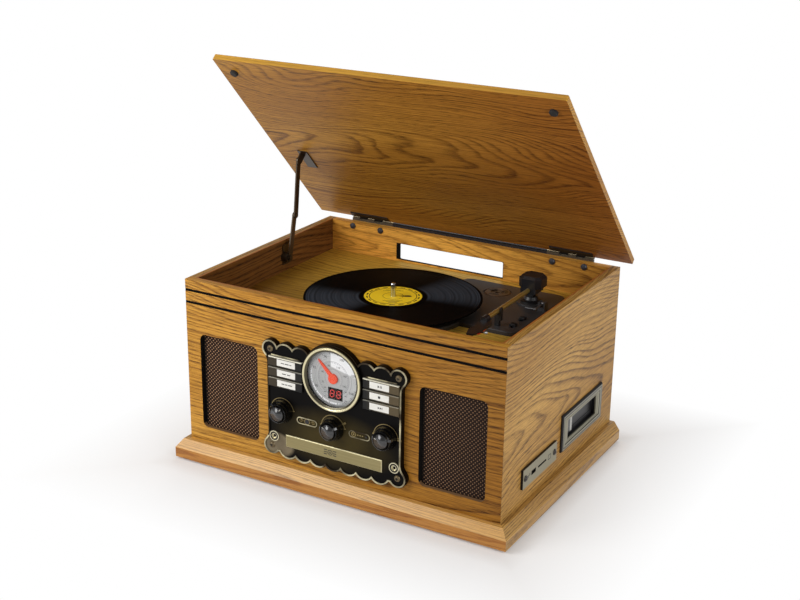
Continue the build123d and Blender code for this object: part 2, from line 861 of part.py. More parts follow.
def knuckles(centre_x, first):
    """Every second barrel of a hinge, from the left end or from one in."""
    pitch = hinge_w / hinge_knuckles
    start = centre_x - hinge_w / 2
    return [(start + n * pitch + gap / 2, pitch - gap) for n in range(first, hinge_knuckles, 2)]


def hinge_body_leaf(side):
    """The fixed leaf on the back panel: three barrels, the pin through all five, a guard below them."""
    half = hinge_w / 2
    x = side * hinge_x
    leaf = block((x - half, x + half), (y_back, y_back + hinge_leaf_t), (z_rim - hinge_leaf_h, z_rim + 1.8))
    for start, length in knuckles(x, 0):
        leaf += block((start, start + length), (y_back, pin_y), (pin_z - 2.4, pin_z - 1))
        leaf += block((start, start + length), (y_back, y_back + hinge_leaf_t), (z_rim, pin_z - 1))
        leaf += rod((start, pin_y, pin_z), (1, 0, 0), knuckle_r, length)
    leaf += rod((x - half, pin_y, pin_z), (1, 0, 0), hinge_pin_r, hinge_w)
    guard = (z_rim - guard_down, z_rim - guard_down + 1.4)
    leaf += block((x - half, x + half), (y_back, pin_y + 0.7), guard)
    leaf += block((x - half, x + half), (pin_y - 0.7, pin_y + 0.7), (guard[0], pin_z - knuckle_r - gap))
    for end in (-1, 1):
        bolt_x = x + end * bolt_spread / 2
        leaf -= rod((bolt_x, y_back - 1, z_rim - bolt_down), (0, 1, 0), bolt_r + slip, 4)
    return leaf


def hinge_body_leaves():
    """Both fixed leaves, joined by a closing strip and its tube that fill the gap between them."""
    leaves = hinge_body_leaf(-1) + hinge_body_leaf(1)
    end = hinge_x - hinge_w / 2 + seat
    leaves += block((-end, end), (y_back, y_back + hinge_leaf_t), (z_rim - hinge_leaf_h, z_lid - gap))
    leaves += block((-end, end), (y_back, pin_y), (pin_z - 2.4, pin_z - 1))
    return leaves + rod((-end, pin_y, pin_z), (1, 0, 0), knuckle_r, 2 * end)


def hinge_lid_leaf(side):
    """The moving leaf under the lid's rear edge, with two barrels and two countersunk screws."""
    half = hinge_w / 2
    x = side * hinge_x
    z = (z_lid - hinge_leaf_t, z_lid)
    reach = y_back - 0.8
    leaf = block((x - half, x + half), (reach - hinge_leaf_d, reach), z)
    for start, length in knuckles(x, 1):
        leaf += block((start, start + length), (reach - 1, pin_y), z)
        leaf += rod((start, pin_y, pin_z), (1, 0, 0), knuckle_r, length)
        leaf -= rod((start - 1, pin_y, pin_z), (1, 0, 0), hinge_pin_r + slip, length + 2)
    return lift(leaf)


def hinge_bolt(x):
    """A dome-headed bolt through the back panel, with its nut on the leaf outside."""
    z = z_rim - bolt_down
    shank = rod((x, y_rear_in, z), (0, 1, 0), bolt_r, wall_t + hinge_leaf_t + 3.4)
    r, h = bolt_head_r, bolt_head_h
    profile = [(0, 0), (r, 0), (0.94 * r, 0.4 * h), (0.6 * r, 0.85 * h), (0, h)]
    head = turned((x, y_rear_in, z), (0, -1, 0), profile)
    nut_plane = Plane(origin=(x, y_back + hinge_leaf_t, z), z_dir=(0, 1, 0))
    return shank + head + extrude(nut_plane * RegularPolygon(3.1, 6), 2.4)


def cabinet_y(distance):
    return y_front + distance


stay_pivot = (cabinet_y(stay_y), z_deck + stay_up)
hook_shut = (pin_y - stay_hook_y, z_lid - stay_hook_down)


def swing(point, angle):
    """A (y, z) point carried round the hinge pins by an opening angle in radians."""
    y = point[0] - pin_y
    z = point[1] - pin_z
    return (pin_y + y * cos(angle) + z * sin(angle), pin_z - y * sin(angle) + z * cos(angle))


def elbow_between(hook):
    """Where the two stay arms meet, on the rear side of the line from pivot to hook."""
    dy = hook[0] - stay_pivot[0]
    dz = hook[1] - stay_pivot[1]
    span = hypot(dy, dz)
    along = (stay_lower ** 2 - stay_upper ** 2 + span ** 2) / (2 * span)
    off = sqrt(stay_lower ** 2 - along ** 2)
    return (stay_pivot[0] + (along * dy + off * dz) / span, stay_pivot[1] + (along * dz - off * dy) / span)


hook_open = swing(hook_shut, open_rad)
stay_span = hypot(hook_open[0] - stay_pivot[0], hook_open[1] - stay_pivot[1])
stay_bend = radians(180 - stay_bend_deg)
stay_upper = stay_lower * cos(stay_bend) + sqrt(stay_span ** 2 - (stay_lower * sin(stay_bend)) ** 2)
elbow_open = elbow_between(hook_open)
elbow_shut = elbow_between(hook_shut)


def flat_arm(x, start, end, beyond):
    """A flat strip with round ends between two (y, z) points, in the plane from x to x + stay_t."""
    dy = end[0] - start[0]
    dz = end[1] - start[1]
    length = hypot(dy, dz)
    plane = Plane(origin=(x, start[0], start[1]), x_dir=(0, dy / length, dz / length), z_dir=(1, 0, 0))
    strip = Pos(length / 2, 0) * SlotCenterToCenter(length, stay_w)
    if beyond:
        strip += Pos(length + beyond / 2, -stay_w / 4) * Rectangle(beyond, stay_w / 2)
    return extrude(plane * strip, stay_t)


def stay_lower_arm():
    x = stay_x - gap / 2 - stay_t
    arm = flat_arm(x, stay_pivot, elbow_open, stay_overlap)
    arm -= rod((x - 1, *stay_pivot), (1, 0, 0), rivet_r + slip, stay_t + 2)
    return arm + rod((x, *elbow_open), (-1, 0, 0), rivet_r + 1.2, 1)


def stay_upper_arm():
    x = stay_x + gap / 2
    arm = flat_arm(x, elbow_open, hook_open, 0)
    arm -= rod((x - 1, *hook_open), (1, 0, 0), rivet_r + slip, stay_t + 2)
    return arm + rod((x + stay_t, *elbow_open), (1, 0, 0), rivet_r + 1.2, 1)


def stay_cabinet_bracket():
    """A wall plate with a boss that carries the lower arm's rivet."""
    y, z = stay_pivot
    plate = block((-x_in, -x_in + 1.5), (y - 4, y + 10), (z - 12, z + 18))
    arm_face = stay_x - gap / 2 - stay_t
    plate += rod((-x_in, y, z), (1, 0, 0), 7.5, arm_face - slip + x_in)
    pin = rod((-x_in, y, z), (1, 0, 0), rivet_r, stay_x + gap / 2 + x_in)
    head = rod((stay_x - gap / 2 + slip, y, z), (1, 0, 0), rivet_r + 1.5, 1.4)
    return plate + pin + head


def stay_lid_bracket():
    """A plate screwed under the lid with an ear that holds the upper arm's rivet."""
    y, z = hook_shut
    ear_x = stay_x + gap / 2 + stay_t + slip
    plate = block((ear_x - 6, ear_x + 10), (y - 6, y + 34), (z_lid - 1.5, z_lid))
    ear = block((ear_x, ear_x + 1.5), (y - 6, y + 6), (z, z_lid))
    ear += rod((ear_x, y, z), (1, 0, 0), 6, 1.5)
    pin = rod((ear_x, y, z), (-1, 0, 0), rivet_r, stay_t + 2 * slip + gap)
    head = rod((stay_x + gap / 2 - slip, y, z), (-1, 0, 0), rivet_r + 1.2, 1.2)
    return lift(plate + ear + pin + head)


# ---------------------------------------------------------------- record deck
deck_centre = (platter_x, y_front + platter_y)
z_platter = z_plate + plate_gap
z_mat = z_platter + platter_h
z_record = z_mat + mat_t
z_disc_top = z_record + record_t
pulley_centre = (deck_centre[0] + pulley_reach * cos(radians(pulley_angle)),
                 deck_centre[1] + pulley_reach * sin(radians(pulley_angle)))


def deck_outline(inset):
    """A disc round the platter joined to the tonearm's rounded rectangle."""
    width = plate_right - plate_left
    depth = plate_back - plate_front
    panel = RectangleRounded(width - 2 * inset, depth - 2 * inset, plate_corner_r - inset)
    middle = ((plate_right + plate_left) / 2, y_front + (plate_back + plate_front) / 2)
    return Pos(*middle) * panel + Pos(*deck_centre) * Circle(plate_disc_r - inset)


def deck_cylinder(x, y, r, low, high):
    return rod((x, y, low), (0, 0, 1), r, high - low)


def turntable_plate():
    """The moulded deck plate: a shallow tray turned over, with its bosses and wells."""
    base = Plane(origin=(0, 0, z_deck))
    plate = extrude(base * deck_outline(0), plate_rise)
    plate = fillet(plate.faces().sort_by(Axis.Z)[-1].edges(), 1.5)
    plate -= extrude(base * deck_outline(plate_wall), plate_rise - plate_wall)
    x, y = adapter_x, y_front + adapter_y
    plate += deck_cylinder(x, y, adapter_r + 3, z_deck, z_plate - 0.2)
    plate -= deck_cylinder(x, y, adapter_r + 0.4, z_plate - adapter_h + 0.6, z_plate + 1)
    arm = (arm_x, y_front + arm_y)
    plate += deck_cylinder(*arm, turret_r + 5, z_deck, z_plate + 2)
    plate -= deck_cylinder(*arm, turret_stem_r + slip, z_deck - 1, z_plate + 3)
    plate += deck_cylinder(*deck_centre, bush_r + 3, z_deck, z_plate - 1)
    plate += deck_cylinder(*deck_centre, bush_r, z_deck - board_t, z_platter - slip)
    plate -= deck_cylinder(*deck_centre, spindle_r + slip, z_deck - board_t - 1, z_platter + 1)
    plate -= deck_cylinder(*pulley_centre, pulley_r + 3, z_deck - 1, z_plate + 1)
    for y in (speed_y, stop_y):
        slot = block((switch_x - 2.5, switch_x + 2.5), (y_front + y - 8, y_front + y + 8),
                     (z_deck - 1, z_plate + 1))
        plate -= slot
    return plate + cue_post()


def platter():
    """A ribbed moulded platter with a rim, an inner rim for the belt, and the steel spindle."""
    profile = [(0, 0), (10, 0), (10, platter_h - platter_top_t), (sub_rim_r - 2.5, platter_h - platter_top_t),
               (sub_rim_r - 2.5, 0.5), (sub_rim_r, 0.5), (sub_rim_r, platter_h - platter_top_t),
               (platter_r - platter_wall, platter_h - platter_top_t), (platter_r - platter_wall, 0),
               (platter_r - 0.8, 0), (platter_r, 0.8), (platter_r, platter_h - 1),
               (platter_r - 1, platter_h), (0, platter_h)]
    disc = turned((*deck_centre, z_platter), (0, 0, 1), profile)
    step = z_disc_top + seat
    top = z_disc_top + spindle_up - spindle_tip
    disc += deck_cylinder(*deck_centre, spindle_r, z_deck - board_t - 2, step)
    disc += deck_cylinder(*deck_centre, spindle_top_r, step, top)
    tip = [(0, 0), (spindle_top_r, 0), (spindle_top_r - 0.8, 0.7 * spindle_tip), (0, spindle_tip)]
    return disc + turned((*deck_centre, top), (0, 0, 1), tip)


def platter_mat():
    return tube((*deck_centre, z_mat), (0, 0, 1), platter_r - 3, spindle_r + slip, mat_t)


def vinyl_record():
    """A ten-inch disc: raised lip, sunk groove band, raised label and the centre hole."""
    t = record_t
    hole = spindle_r + slip
    profile = [(hole, 0), (record_r, 0), (record_r, t), (record_r - 3, t), (record_r - 4, t - 0.3),
               (label_r + 6, t - 0.3), (label_r + 5, t), (hole, t)]
    return turned((*deck_centre, z_record), (0, 0, 1), profile)


def motor_pulley():
    x, y = pulley_centre
    profile = [(0, 0), (pulley_r + 1, 0), (pulley_r + 1, 0.4), (pulley_r, 0.7), (pulley_r, 5),
               (pulley_r + 1, 5.3), (pulley_r + 1, 5.6), (0, 5.6)]
    wheel = turned((x, y, z_platter), (0, 0, 1), profile)
    return wheel + deck_cylinder(x, y, 1, z_deck - 14, z_platter)


def platter_motor():
    """A can motor hung under the deck plate on a round flange."""
    x, y = pulley_centre
    top = z_deck + plate_rise - plate_wall
    can = deck_cylinder(x, y, motor_r, top - motor_h, top - 1.5)
    can += deck_cylinder(x, y, motor_r + 3, top - 1.5, top)
    can -= deck_cylinder(x, y, 1 + slip, z_deck - 15, top + 1)
    return can - deck_cylinder(x, y, pulley_r, top - 1, top + 1)


def belt_loop(margin):
    """The line round the platter's inner rim and the pulley, that far off both of them."""
    x, y = deck_centre
    big = sub_rim_r + margin
    small = pulley_r + margin
    turn = acos((big - small) / pulley_reach)
    base = radians(pulley_angle)
    ends = []
    for side in (1, -1):
        away = base + side * turn
        ends.append((x + big * cos(away), y + big * sin(away)))
        ends.append((pulley_centre[0] + small * cos(away), pulley_centre[1] + small * sin(away)))
    spans = make_face(Polyline(ends[0], ends[1], ends[3], ends[2], close=True))
    return spans + Pos(x, y) * Circle(big) + Pos(*pulley_centre) * Circle(small)


def drive_belt():
    low = z_platter + 1.4
    plane = Plane(origin=(0, 0, low))
    return extrude(plane * (belt_loop(gap + belt_t) - belt_loop(gap)), belt_h)


def record_adapter():
    """The domed insert for large-hole discs, at rest in its own well."""
    x, y = adapter_x, y_front + adapter_y
    low = z_plate - adapter_h + 0.6
    profile = [(adapter_hole_r, 0), (adapter_r, 0), (adapter_r, 1.6), (adapter_r - 2, adapter_h),
               (adapter_r - 9, adapter_h), (adapter_r - 10, adapter_h - 1), (adapter_hole_r, adapter_h - 1)]
    return turned((x, y, low), (0, 0, 1), profile)


# ---------------------------------------------------------------- tonearm
z_arm = z_deck + arm_tube_up
arm_base = (arm_x, y_front + arm_y)


def tonearm_turret():
    """The flared turning column with an upright tongue that carries the lift pin."""
    x, y = arm_base
    low = z_plate + 2 + gap
    flare = (turret_r + turret_neck_r) / 2 - 1.4
    column = turned((x, y, low), (0, 0, 1),
                    [(0, 0), (turret_r, 0), (turret_r, 1.4), (flare, 3.2), (turret_neck_r, turret_h - 1),
                     (turret_neck_r, turret_h), (0, turret_h)])
    column += deck_cylinder(x, y, turret_stem_r, z_deck + 1, low)
    half = tongue_w / 2
    column += block((x - half, x + half), (y - tongue_d / 2, y + tongue_d / 2), (low + turret_h - 1, z_arm))
    column += rod((x - half, y, z_arm), (1, 0, 0), tongue_d / 2, tongue_w)
    reach = yoke_w / 2 - 3
    return column + rod((x - reach, y, z_arm), (1, 0, 0), arm_pin_r, 2 * reach)


def tonearm():
    """Faceted counterweight block, brass tube, headshell, finger lift and cartridge, one rigid arm."""
    x, y = arm_base
    low = z_arm + block_up
    middle_y = y + 3
    half = block_w / 2
    body = block((x - half, x + half), (middle_y - block_d / 2, middle_y + block_d / 2), (low, low + block_h))
    body = chamfer(body.edges().filter_by(Axis.Z), block_chamfer)
    body = chamfer(body.faces().sort_by(Axis.Z)[-1].edges(), 3.5)
    half = yoke_w / 2
    under = z_arm - arm_tube_r - 0.9
    body += block((x - half, x + half), (y - yoke_d / 2, y + yoke_d / 2), (under, low + 0.5))
    room = tongue_w / 2 + gap
    body -= block((x - room, x + room), (y - tongue_d / 2 - 4, y + tongue_d / 2 + 4), (under - 1, z_arm))
    body -= rod((x - room, y, z_arm), (1, 0, 0), tongue_d / 2 + gap, 2 * room)
    body -= rod((x - half + 3 - gap, y, z_arm), (1, 0, 0), arm_pin_r + slip, yoke_w - 6 + 2 * gap)
    shell_x = x + headshell_shift
    tip_y = y - arm_length
    nose_y = tip_y - headshell_ahead
    shell_back = nose_y + headshell_d
    shell_top = z_arm - headshell_drop
    neck_y = y - yoke_d / 2 + 1
    body += rod((x, neck_y, z_arm), (0, -1, 0), arm_tube_r, neck_y - shell_back)
    half = headshell_w / 2
    nose = headshell_nose_w / 2
    outline = Polyline((shell_x - nose, nose_y), (shell_x + nose, nose_y), (shell_x + half, nose_y + 14),
                       (shell_x + half, shell_back - 16), (x + arm_tube_r + 2, shell_back),
                       (x - arm_tube_r - 2, shell_back), (shell_x - half, shell_back - 16),
                       (shell_x - half, nose_y + 14), close=True)
    shell = extrude(Plane(origin=(0, 0, shell_top - headshell_t)) * make_face(outline), headshell_t)
    collar = rod((x, shell_back, z_arm), (0, -1, 0), arm_tube_r + 1.4, collar_d)
    finger_y = tip_y - 4
    finger = block((shell_x + half - 1, shell_x + half + finger_w), (finger_y, finger_y + 3),
                   (shell_top - 1.6, shell_top - 0.4))
    finger += Pos(shell_x + half + finger_w, finger_y + 1.5, shell_top - 1) * Sphere(2)
    cart_top = shell_top - headshell_t
    needle_top = cart_top - cartridge_h
    cart = block((shell_x - cartridge_w / 2, shell_x + cartridge_w / 2),
                 (tip_y - 3, tip_y - 3 + cartridge_d), (needle_top, cart_top))
    cart = chamfer(cart.faces().sort_by(Axis.Z)[0].edges(), 1.5)
    tip_h = needle_top - z_disc_top - gap
    stylus = turned((shell_x, tip_y, z_disc_top + gap), (0, 0, 1),
                    [(0, 0), (0.5, 0), (1.8, tip_h), (0, tip_h)])
    return body + collar + shell + finger + cart + stylus


def arm_rest():
    """A post under the tube with a cheek on its outer side that stops the arm."""
    half = arm_tube_r + gap
    y = (y_front + rest_y - rest_d / 2, y_front + rest_y + rest_d / 2)
    top = z_arm - arm_tube_r - seat
    post = block((arm_x - half, arm_x + half), y, (z_plate, top))
    post = fillet(post.edges().filter_by(Axis.Z), 0.8)
    cheek = block((arm_x + half, arm_x + half + rest_cheek_t), y, (top - 9, z_arm + rest_over))
    cheek = chamfer(cheek.faces().sort_by(Axis.Z)[-1].edges(), 0.6)
    return Compound([post, cheek])


def cue_post():
    """The bracket that carries the lift lever beside the turret."""
    y = y_front + cue_y
    z = z_plate + cue_up
    post = block((cue_x - 5, cue_x + 5), (y - 5, y + 5), (z_plate - 1, z + 3))
    post -= block((cue_x - 2 - gap, cue_x + 2 + gap), (y - 6, y + 6), (z - 4, z + 4))
    return post + rod((cue_x - 3, y, z), (1, 0, 0), 1, 6)


def cue_lever():
    """A chromed lever with a ball tip and a lifting bar that lies forward at rest."""
    y = y_front + cue_y
    z = z_plate + cue_up
    lever = rod((cue_x - 2, y, z), (1, 0, 0), 2.6, 4)
    lever += rod((cue_x, y - 1, z), (0, -1, 0), 1.2, cue_len)
    lever += Pos(cue_x, y - 1 - cue_len, z) * Sphere(2.2)
    lever += rod((cue_x, y - 1 - cue_len, z), (-1, 0, 0), 1, cue_bar)
    return lever - rod((cue_x - 3, y, z), (1, 0, 0), 1 + slip, 6)


def slide_switch(distance):
    """A ribbed slide knob on its stem through the deck plate."""
    y = y_front + distance
    cap = block((switch_x - 4, switch_x + 4), (y - 4, y + 4), (z_plate + gap, z_plate + 3.4))
    cap = chamfer(cap.faces().sort_by(Axis.Z)[-1].edges(), 0.8)
    for step in (-1, 0, 1):
        cap += block((switch_x - 3, switch_x + 3), (y + 2 * step - 0.4, y + 2 * step + 0.4),
                     (z_plate + 3.2, z_plate + 3.9))
    return cap + block((switch_x - 2, switch_x + 2), (y - 2, y + 2), (z_deck + 1, z_plate + gap))


# ---------------------------------------------------------------- inside the body
def main_circuit_board():
    """A board on four posts with its finned heat sink and three capacitors."""
    x = (circuit_x - circuit_w / 2, circuit_x + circuit_w / 2)
    y = (y_rear_in - circuit_back - circuit_d, y_rear_in - circuit_back)
    z = z_board + circuit_up
    board = block(x, y, (z, z + circuit_t))
    for px in (x[0] + 5, x[1] - 5):
        for py in (y[0] + 5, y[1] - 5):
            board += deck_cylinder(px, py, 3, z_board, z + 0.5)
    sink = x[0] + 12
    board += block((sink, sink + sink_w), (y[1] - 24, y[1] - 20), (z + 1, z + 6 + sink_h))
    for n in range(5):
        fin = sink + 2 + n * sink_w * 0.22
        board += block((fin, fin + 2), (y[1] - 20.5, y[1] - 8), (z + 6, z + 6 + sink_h))
    for n in range(3):
        centre = (x[1] - 3.2 * capacitor_r, y[0] + capacitor_r * (3.4 + 2.9 * n))
        board += deck_cylinder(*centre, capacitor_r, z + 1, z + 1 + capacitor_h)
    return board


def mains_transformer():
    """A laminated core with its winding, on a strap with two lugs."""
    def centred(w, d, low, high):
        x, y = transformer_x, y_rear_in - transformer_back
        return block((x - w / 2, x + w / 2), (y - d / 2, y + d / 2), (z_board + low, z_board + high))

    core = centred(core_w, core_d, 0, core_h)
    margin = (core_h - winding_h) / 2
    core += centred(winding_w, winding_d, margin, core_h - margin)
    return core + centred(strap_w, strap_d, 0, strap_t)


def control_block(x, z):
    """A potentiometer or switch behind a knob, with the bore that its shaft turns in."""
    body = rod(front_point(x, z, 0), (0, 1, 0), control_r, control_h)
    return body - rod(front_point(x, z, 1), (0, 1, 0), knob_shaft_r + slip, 4)


def control_board():
    """The board behind the fascia that carries the key switches and the knobs' controls."""
    half_w = bay_w / 2 - slip
    low = z_wall + plaque_z - 16
    top = z_wall + (fascia_bottom + fascia_top) / 2 + bay_h / 2 - 8
    y = (y_front + control_h, y_front + control_h + 1.6)
    board = block((-half_w, half_w), y, (low, top))
    board -= rod((0, y[0] - 1, z_wall + gauge_z), (0, 1, 0), dial_r - 7, 4)
    for x, z in ((-knob_x, knob_z), (0, middle_knob_z), (knob_x, knob_z)):
        board += control_block(x, z)
    for side in (-1, 1):
        for row in range(3):
            x, z = side * key_x, key_top_z - row * key_pitch
            board += rod(front_point(x, z, -key_reach - key_travel - gap), (0, 1, 0), 3,
                         control_h - key_reach - key_travel - gap + 0.5)
    return board


def rear_connection_panel():
    """A folded plate with the two-pin mains inlet and a pair of line sockets."""
    place = Pos(-rear_panel_x, rear_panel_z)
    plate = slab(rear, place * RectangleRounded(rear_panel_w, rear_panel_h, 2), 0, rear_panel_t)
    inlet = place * Pos(-rear_panel_w / 2 + inlet_edge, 0)
    plate += slab(rear, inlet * RectangleRounded(inlet_w, inlet_h, 4), -inlet_depth, rear_panel_t + 2)
    plate -= slab(rear, inlet * SlotOverall(inlet_open_w, inlet_open_h), 2 - inlet_depth, rear_panel_t + 3)
    for side in (-1, 1):
        pin_place = inlet * Pos(side * inlet_pin_spread / 2, 0)
        plate += slab(rear, pin_place * Circle(inlet_pin_r), 1 - inlet_depth, -1)
    for n in (0, 1):
        socket = place * Pos(rear_panel_w / 2 - line_socket_edge - line_socket_pitch * n, 0)
        plate += slab(rear, socket * Circle(line_socket_r), -6, rear_panel_t + 1)
        plate += slab(rear, socket * Circle(rca_r), rear_panel_t, rear_panel_t + rca_l)
        plate -= slab(rear, socket * Circle(1.6), -4, rear_panel_t + rca_l + 1)
    return plate


# ---------------------------------------------------------------- every node
pieces["left_side_panel"] = side_panel(-1)
pieces["right_side_panel"] = side_panel(1)
pieces["front_baffle"] = front_baffle()
pieces["back_panel"] = back_panel()
pieces["bottom_board"] = board_between_walls(z_wall)
pieces["deck_board"] = deck_board()
pieces["plinth_mouldings"] = plinth_mouldings()
pieces["rubber_feet"] = rubber_feet()
pieces["speaker_grilles"] = speaker_grilles()
pieces["speaker_drivers"] = both_sides(speaker_driver)
pieces["fascia_plate"] = fascia_plate()
pieces["gauge_bezel"] = gauge_bezel()
pieces["gauge_dial"] = gauge_dial()
pieces["gauge_needle"] = gauge_needle()
pieces["gauge_lens"] = gauge_lens()
pieces["led_display"] = led_display()
for side, word in ((-1, "left"), (1, "right")):
    for row in range(3):
        pieces[f"{word}_key_{row + 1}"] = key(side, row)
pieces["volume_knob"] = knob(-knob_x, knob_z, 35)
pieces["function_knob"] = knob(0, middle_knob_z, -60)
pieces["tuning_knob"] = knob(knob_x, knob_z, -75)
pieces["front_jacks"] = both_sides(front_jack)
pieces["cd_drawer"] = cd_drawer()
pieces["cd_mechanism"] = cd_mechanism()
pieces["cassette_bezel"] = cassette_bezel()
pieces["cassette_mechanism"] = cassette_mechanism()
pieces["cassette_flap"] = cassette_flap()
pieces["cassette_eject_key"] = cassette_eject_key()
pieces["usb_card_plate"] = usb_card_plate()
pieces["lid_panel"] = lid_panel()
pieces["lid_bumpers"] = lid_bumpers()
pieces["hinge_body_leaves"] = hinge_body_leaves()
pieces["hinge_lid_leaves"] = both_sides(hinge_lid_leaf)
pieces["fixing_screws"] = fixing_screws()
pieces["stay_lower_arm"] = stay_lower_arm()
pieces["stay_upper_arm"] = stay_upper_arm()
pieces["stay_cabinet_bracket"] = stay_cabinet_bracket()
pieces["stay_lid_bracket"] = stay_lid_bracket()
pieces["turntable_plate"] = turntable_plate()
pieces["platter"] = platter()
pieces["platter_mat"] = platter_mat()
pieces["vinyl_record"] = vinyl_record()
pieces["motor_pulley"] = motor_pulley()
pieces["platter_motor"] = platter_motor()
pieces["drive_belt"] = drive_belt()
pieces["record_adapter"] = record_adapter()
pieces["tonearm_turret"] = tonearm_turret()
pieces["tonearm"] = tonearm()
pieces["arm_rest"] = arm_rest()
pieces["cue_lever"] = cue_lever()
pieces["speed_switch"] = slide_switch(speed_y)
pieces["auto_stop_switch"] = slide_switch(stop_y)
pieces["main_circuit_board"] = main_circuit_board()
pieces["mains_transformer"] = mains_transformer()
pieces["control_board"] = control_board()
pieces["rear_connection_panel"] = rear_connection_panel()

os.makedirs("parts", exist_ok=True)
for name, shape in pieces.items():
    export_step(shape, f"parts/{name}.step")
print(len(pieces), "nodes")
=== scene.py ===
import bpy
import bmesh
from math import cos, pi, radians, sin
from mathutils import Matrix, Vector


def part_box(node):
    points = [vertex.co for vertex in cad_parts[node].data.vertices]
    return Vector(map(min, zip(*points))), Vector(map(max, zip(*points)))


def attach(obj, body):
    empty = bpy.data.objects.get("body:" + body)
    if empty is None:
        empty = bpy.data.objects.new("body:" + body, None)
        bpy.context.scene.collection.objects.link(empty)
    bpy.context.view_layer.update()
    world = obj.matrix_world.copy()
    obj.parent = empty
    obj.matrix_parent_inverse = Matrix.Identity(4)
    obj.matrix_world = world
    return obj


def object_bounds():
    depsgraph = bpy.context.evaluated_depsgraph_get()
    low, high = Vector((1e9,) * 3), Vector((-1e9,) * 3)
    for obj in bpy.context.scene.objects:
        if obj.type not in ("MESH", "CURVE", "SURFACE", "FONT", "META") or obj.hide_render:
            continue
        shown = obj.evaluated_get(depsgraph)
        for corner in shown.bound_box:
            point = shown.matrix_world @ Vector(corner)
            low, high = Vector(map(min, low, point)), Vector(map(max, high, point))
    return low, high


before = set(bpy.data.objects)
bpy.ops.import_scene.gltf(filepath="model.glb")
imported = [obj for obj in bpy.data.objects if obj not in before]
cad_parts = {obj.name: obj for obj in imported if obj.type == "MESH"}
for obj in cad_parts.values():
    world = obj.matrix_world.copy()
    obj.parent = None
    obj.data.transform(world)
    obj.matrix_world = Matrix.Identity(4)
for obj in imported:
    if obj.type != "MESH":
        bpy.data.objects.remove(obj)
cad_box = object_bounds()
mm = 0.001

# ------------------------------------------------------------------ cabinet boards
# Five boards veneered with flat-cut oak, stained golden and rubbed with a satin lacquer, glued edge to
# edge round the deck. The grain runs level on every wall. Two grooves across the front are painted black.
front_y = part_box("front_baffle")[0].y
back_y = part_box("back_panel")[1].y
wall_foot, rim_z = (corner.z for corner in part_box("front_baffle"))
deck_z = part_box("deck_board")[1].z
side_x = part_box("right_side_panel")[1].x
wall_t = 12 * mm


def linear(colour):
    """An sRGB hex colour as the linear values that a shader takes."""
    parts = [int(colour[start:start + 2], 16) / 255 for start in (1, 3, 5)]
    return [part / 12.92 if part <= 0.04045 else ((part + 0.055) / 1.055) ** 2.4 for part in parts] + [1]


def node_adder(tree):
    """The function that adds one node to this tree with its settings and links."""
    def add(kind, *values, take=0, **settings):
        """Values go to the sockets in order, or as a dict says; one that is a socket is linked. The kind may
        have its operation after a space."""
        kind, *operation = kind.split()
        if operation:
            settings["operation"] = operation[0]
        whole_name = kind.startswith(("Geometry", "Function", "NodeGroup"))
        made = tree.nodes.new(kind if whole_name else "ShaderNode" + kind)
        for setting, value in settings.items():
            setattr(made, setting, value)
        by_name = values and isinstance(values[0], dict)
        for socket, value in values[0].items() if by_name else enumerate(values):
            if isinstance(value, bpy.types.NodeSocket):
                tree.links.new(value, made.inputs[socket])
            else:
                made.inputs[socket].default_value = value
        return made if take is None else made.outputs[take]
    return add


def begin_finish(name):
    """A new material, what adds its nodes, and the object coordinates whole and in three parts."""
    made = bpy.data.materials.new(name)
    made.use_nodes = True
    made.node_tree.nodes.clear()
    add = node_adder(made.node_tree)
    place = add("TexCoord", take="Object")
    return made, add, place, add("SeparateXYZ", place, take=None).outputs


def end_finish(made, add, values, relief=None, strength=0.3, depth=0.15 * mm):
    """The shader over its relief; gives the material back."""
    if relief:
        values["Normal"] = add("Bump", {"Height": relief, "Strength": strength, "Distance": depth})
    add("OutputMaterial", add("BsdfPrincipled", values), take=None)
    return made


def within(add, parts, *limits, **by_letter):
    """1 where each part is between its limits, otherwise 0. They come in order or by letter, and None leaves
    a side open."""
    limits = dict(enumerate(limits)) | {"xyz".index(letter): pair for letter, pair in by_letter.items()}
    mask = None
    for side, test in enumerate(("GREATER_THAN", "LESS_THAN")):
        for axis in sorted(limits):
            if limits[axis][side] is not None:
                step = add(f"Math {test}", parts[axis], limits[axis][side])
                mask = add("Math MULTIPLY", mask, step) if mask else step
    return mask


def coats(add, colour, *layers, laid="MIX"):
    """Colours laid one over another, each as thick as its mask says. MULTIPLY makes a stain of them, which
    the grain still shows through."""
    colour = linear(colour) if isinstance(colour, str) else colour
    for mask, hue in layers:
        hue = linear(hue) if isinstance(hue, str) else hue
        colour = add("Mix", {0: mask, 6: colour, 7: hue}, take=2, data_type="RGBA", blend_type=laid)
    return colour


def distance(add, across, up):
    """How far a spot is from a centre."""
    return add("VectorMath LENGTH", add("CombineXYZ", across, up), take="Value")


def facing(add):
    """Which way the surface looks, in three parts."""
    return add("SeparateXYZ", add("NewGeometry", take="Normal"), take=None).outputs


def dress(piece, material):
    piece.data.materials.clear()
    piece.data.materials.append(material)


def dress_nodes(material, *names):
    for name in names:
        dress(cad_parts[name], material)


ring_pitch = 5.6 * mm
fibre_width = 1.1 * mm
pore_width = 0.8 * mm
pore_length = 15 * mm
ring_lean = 1.7


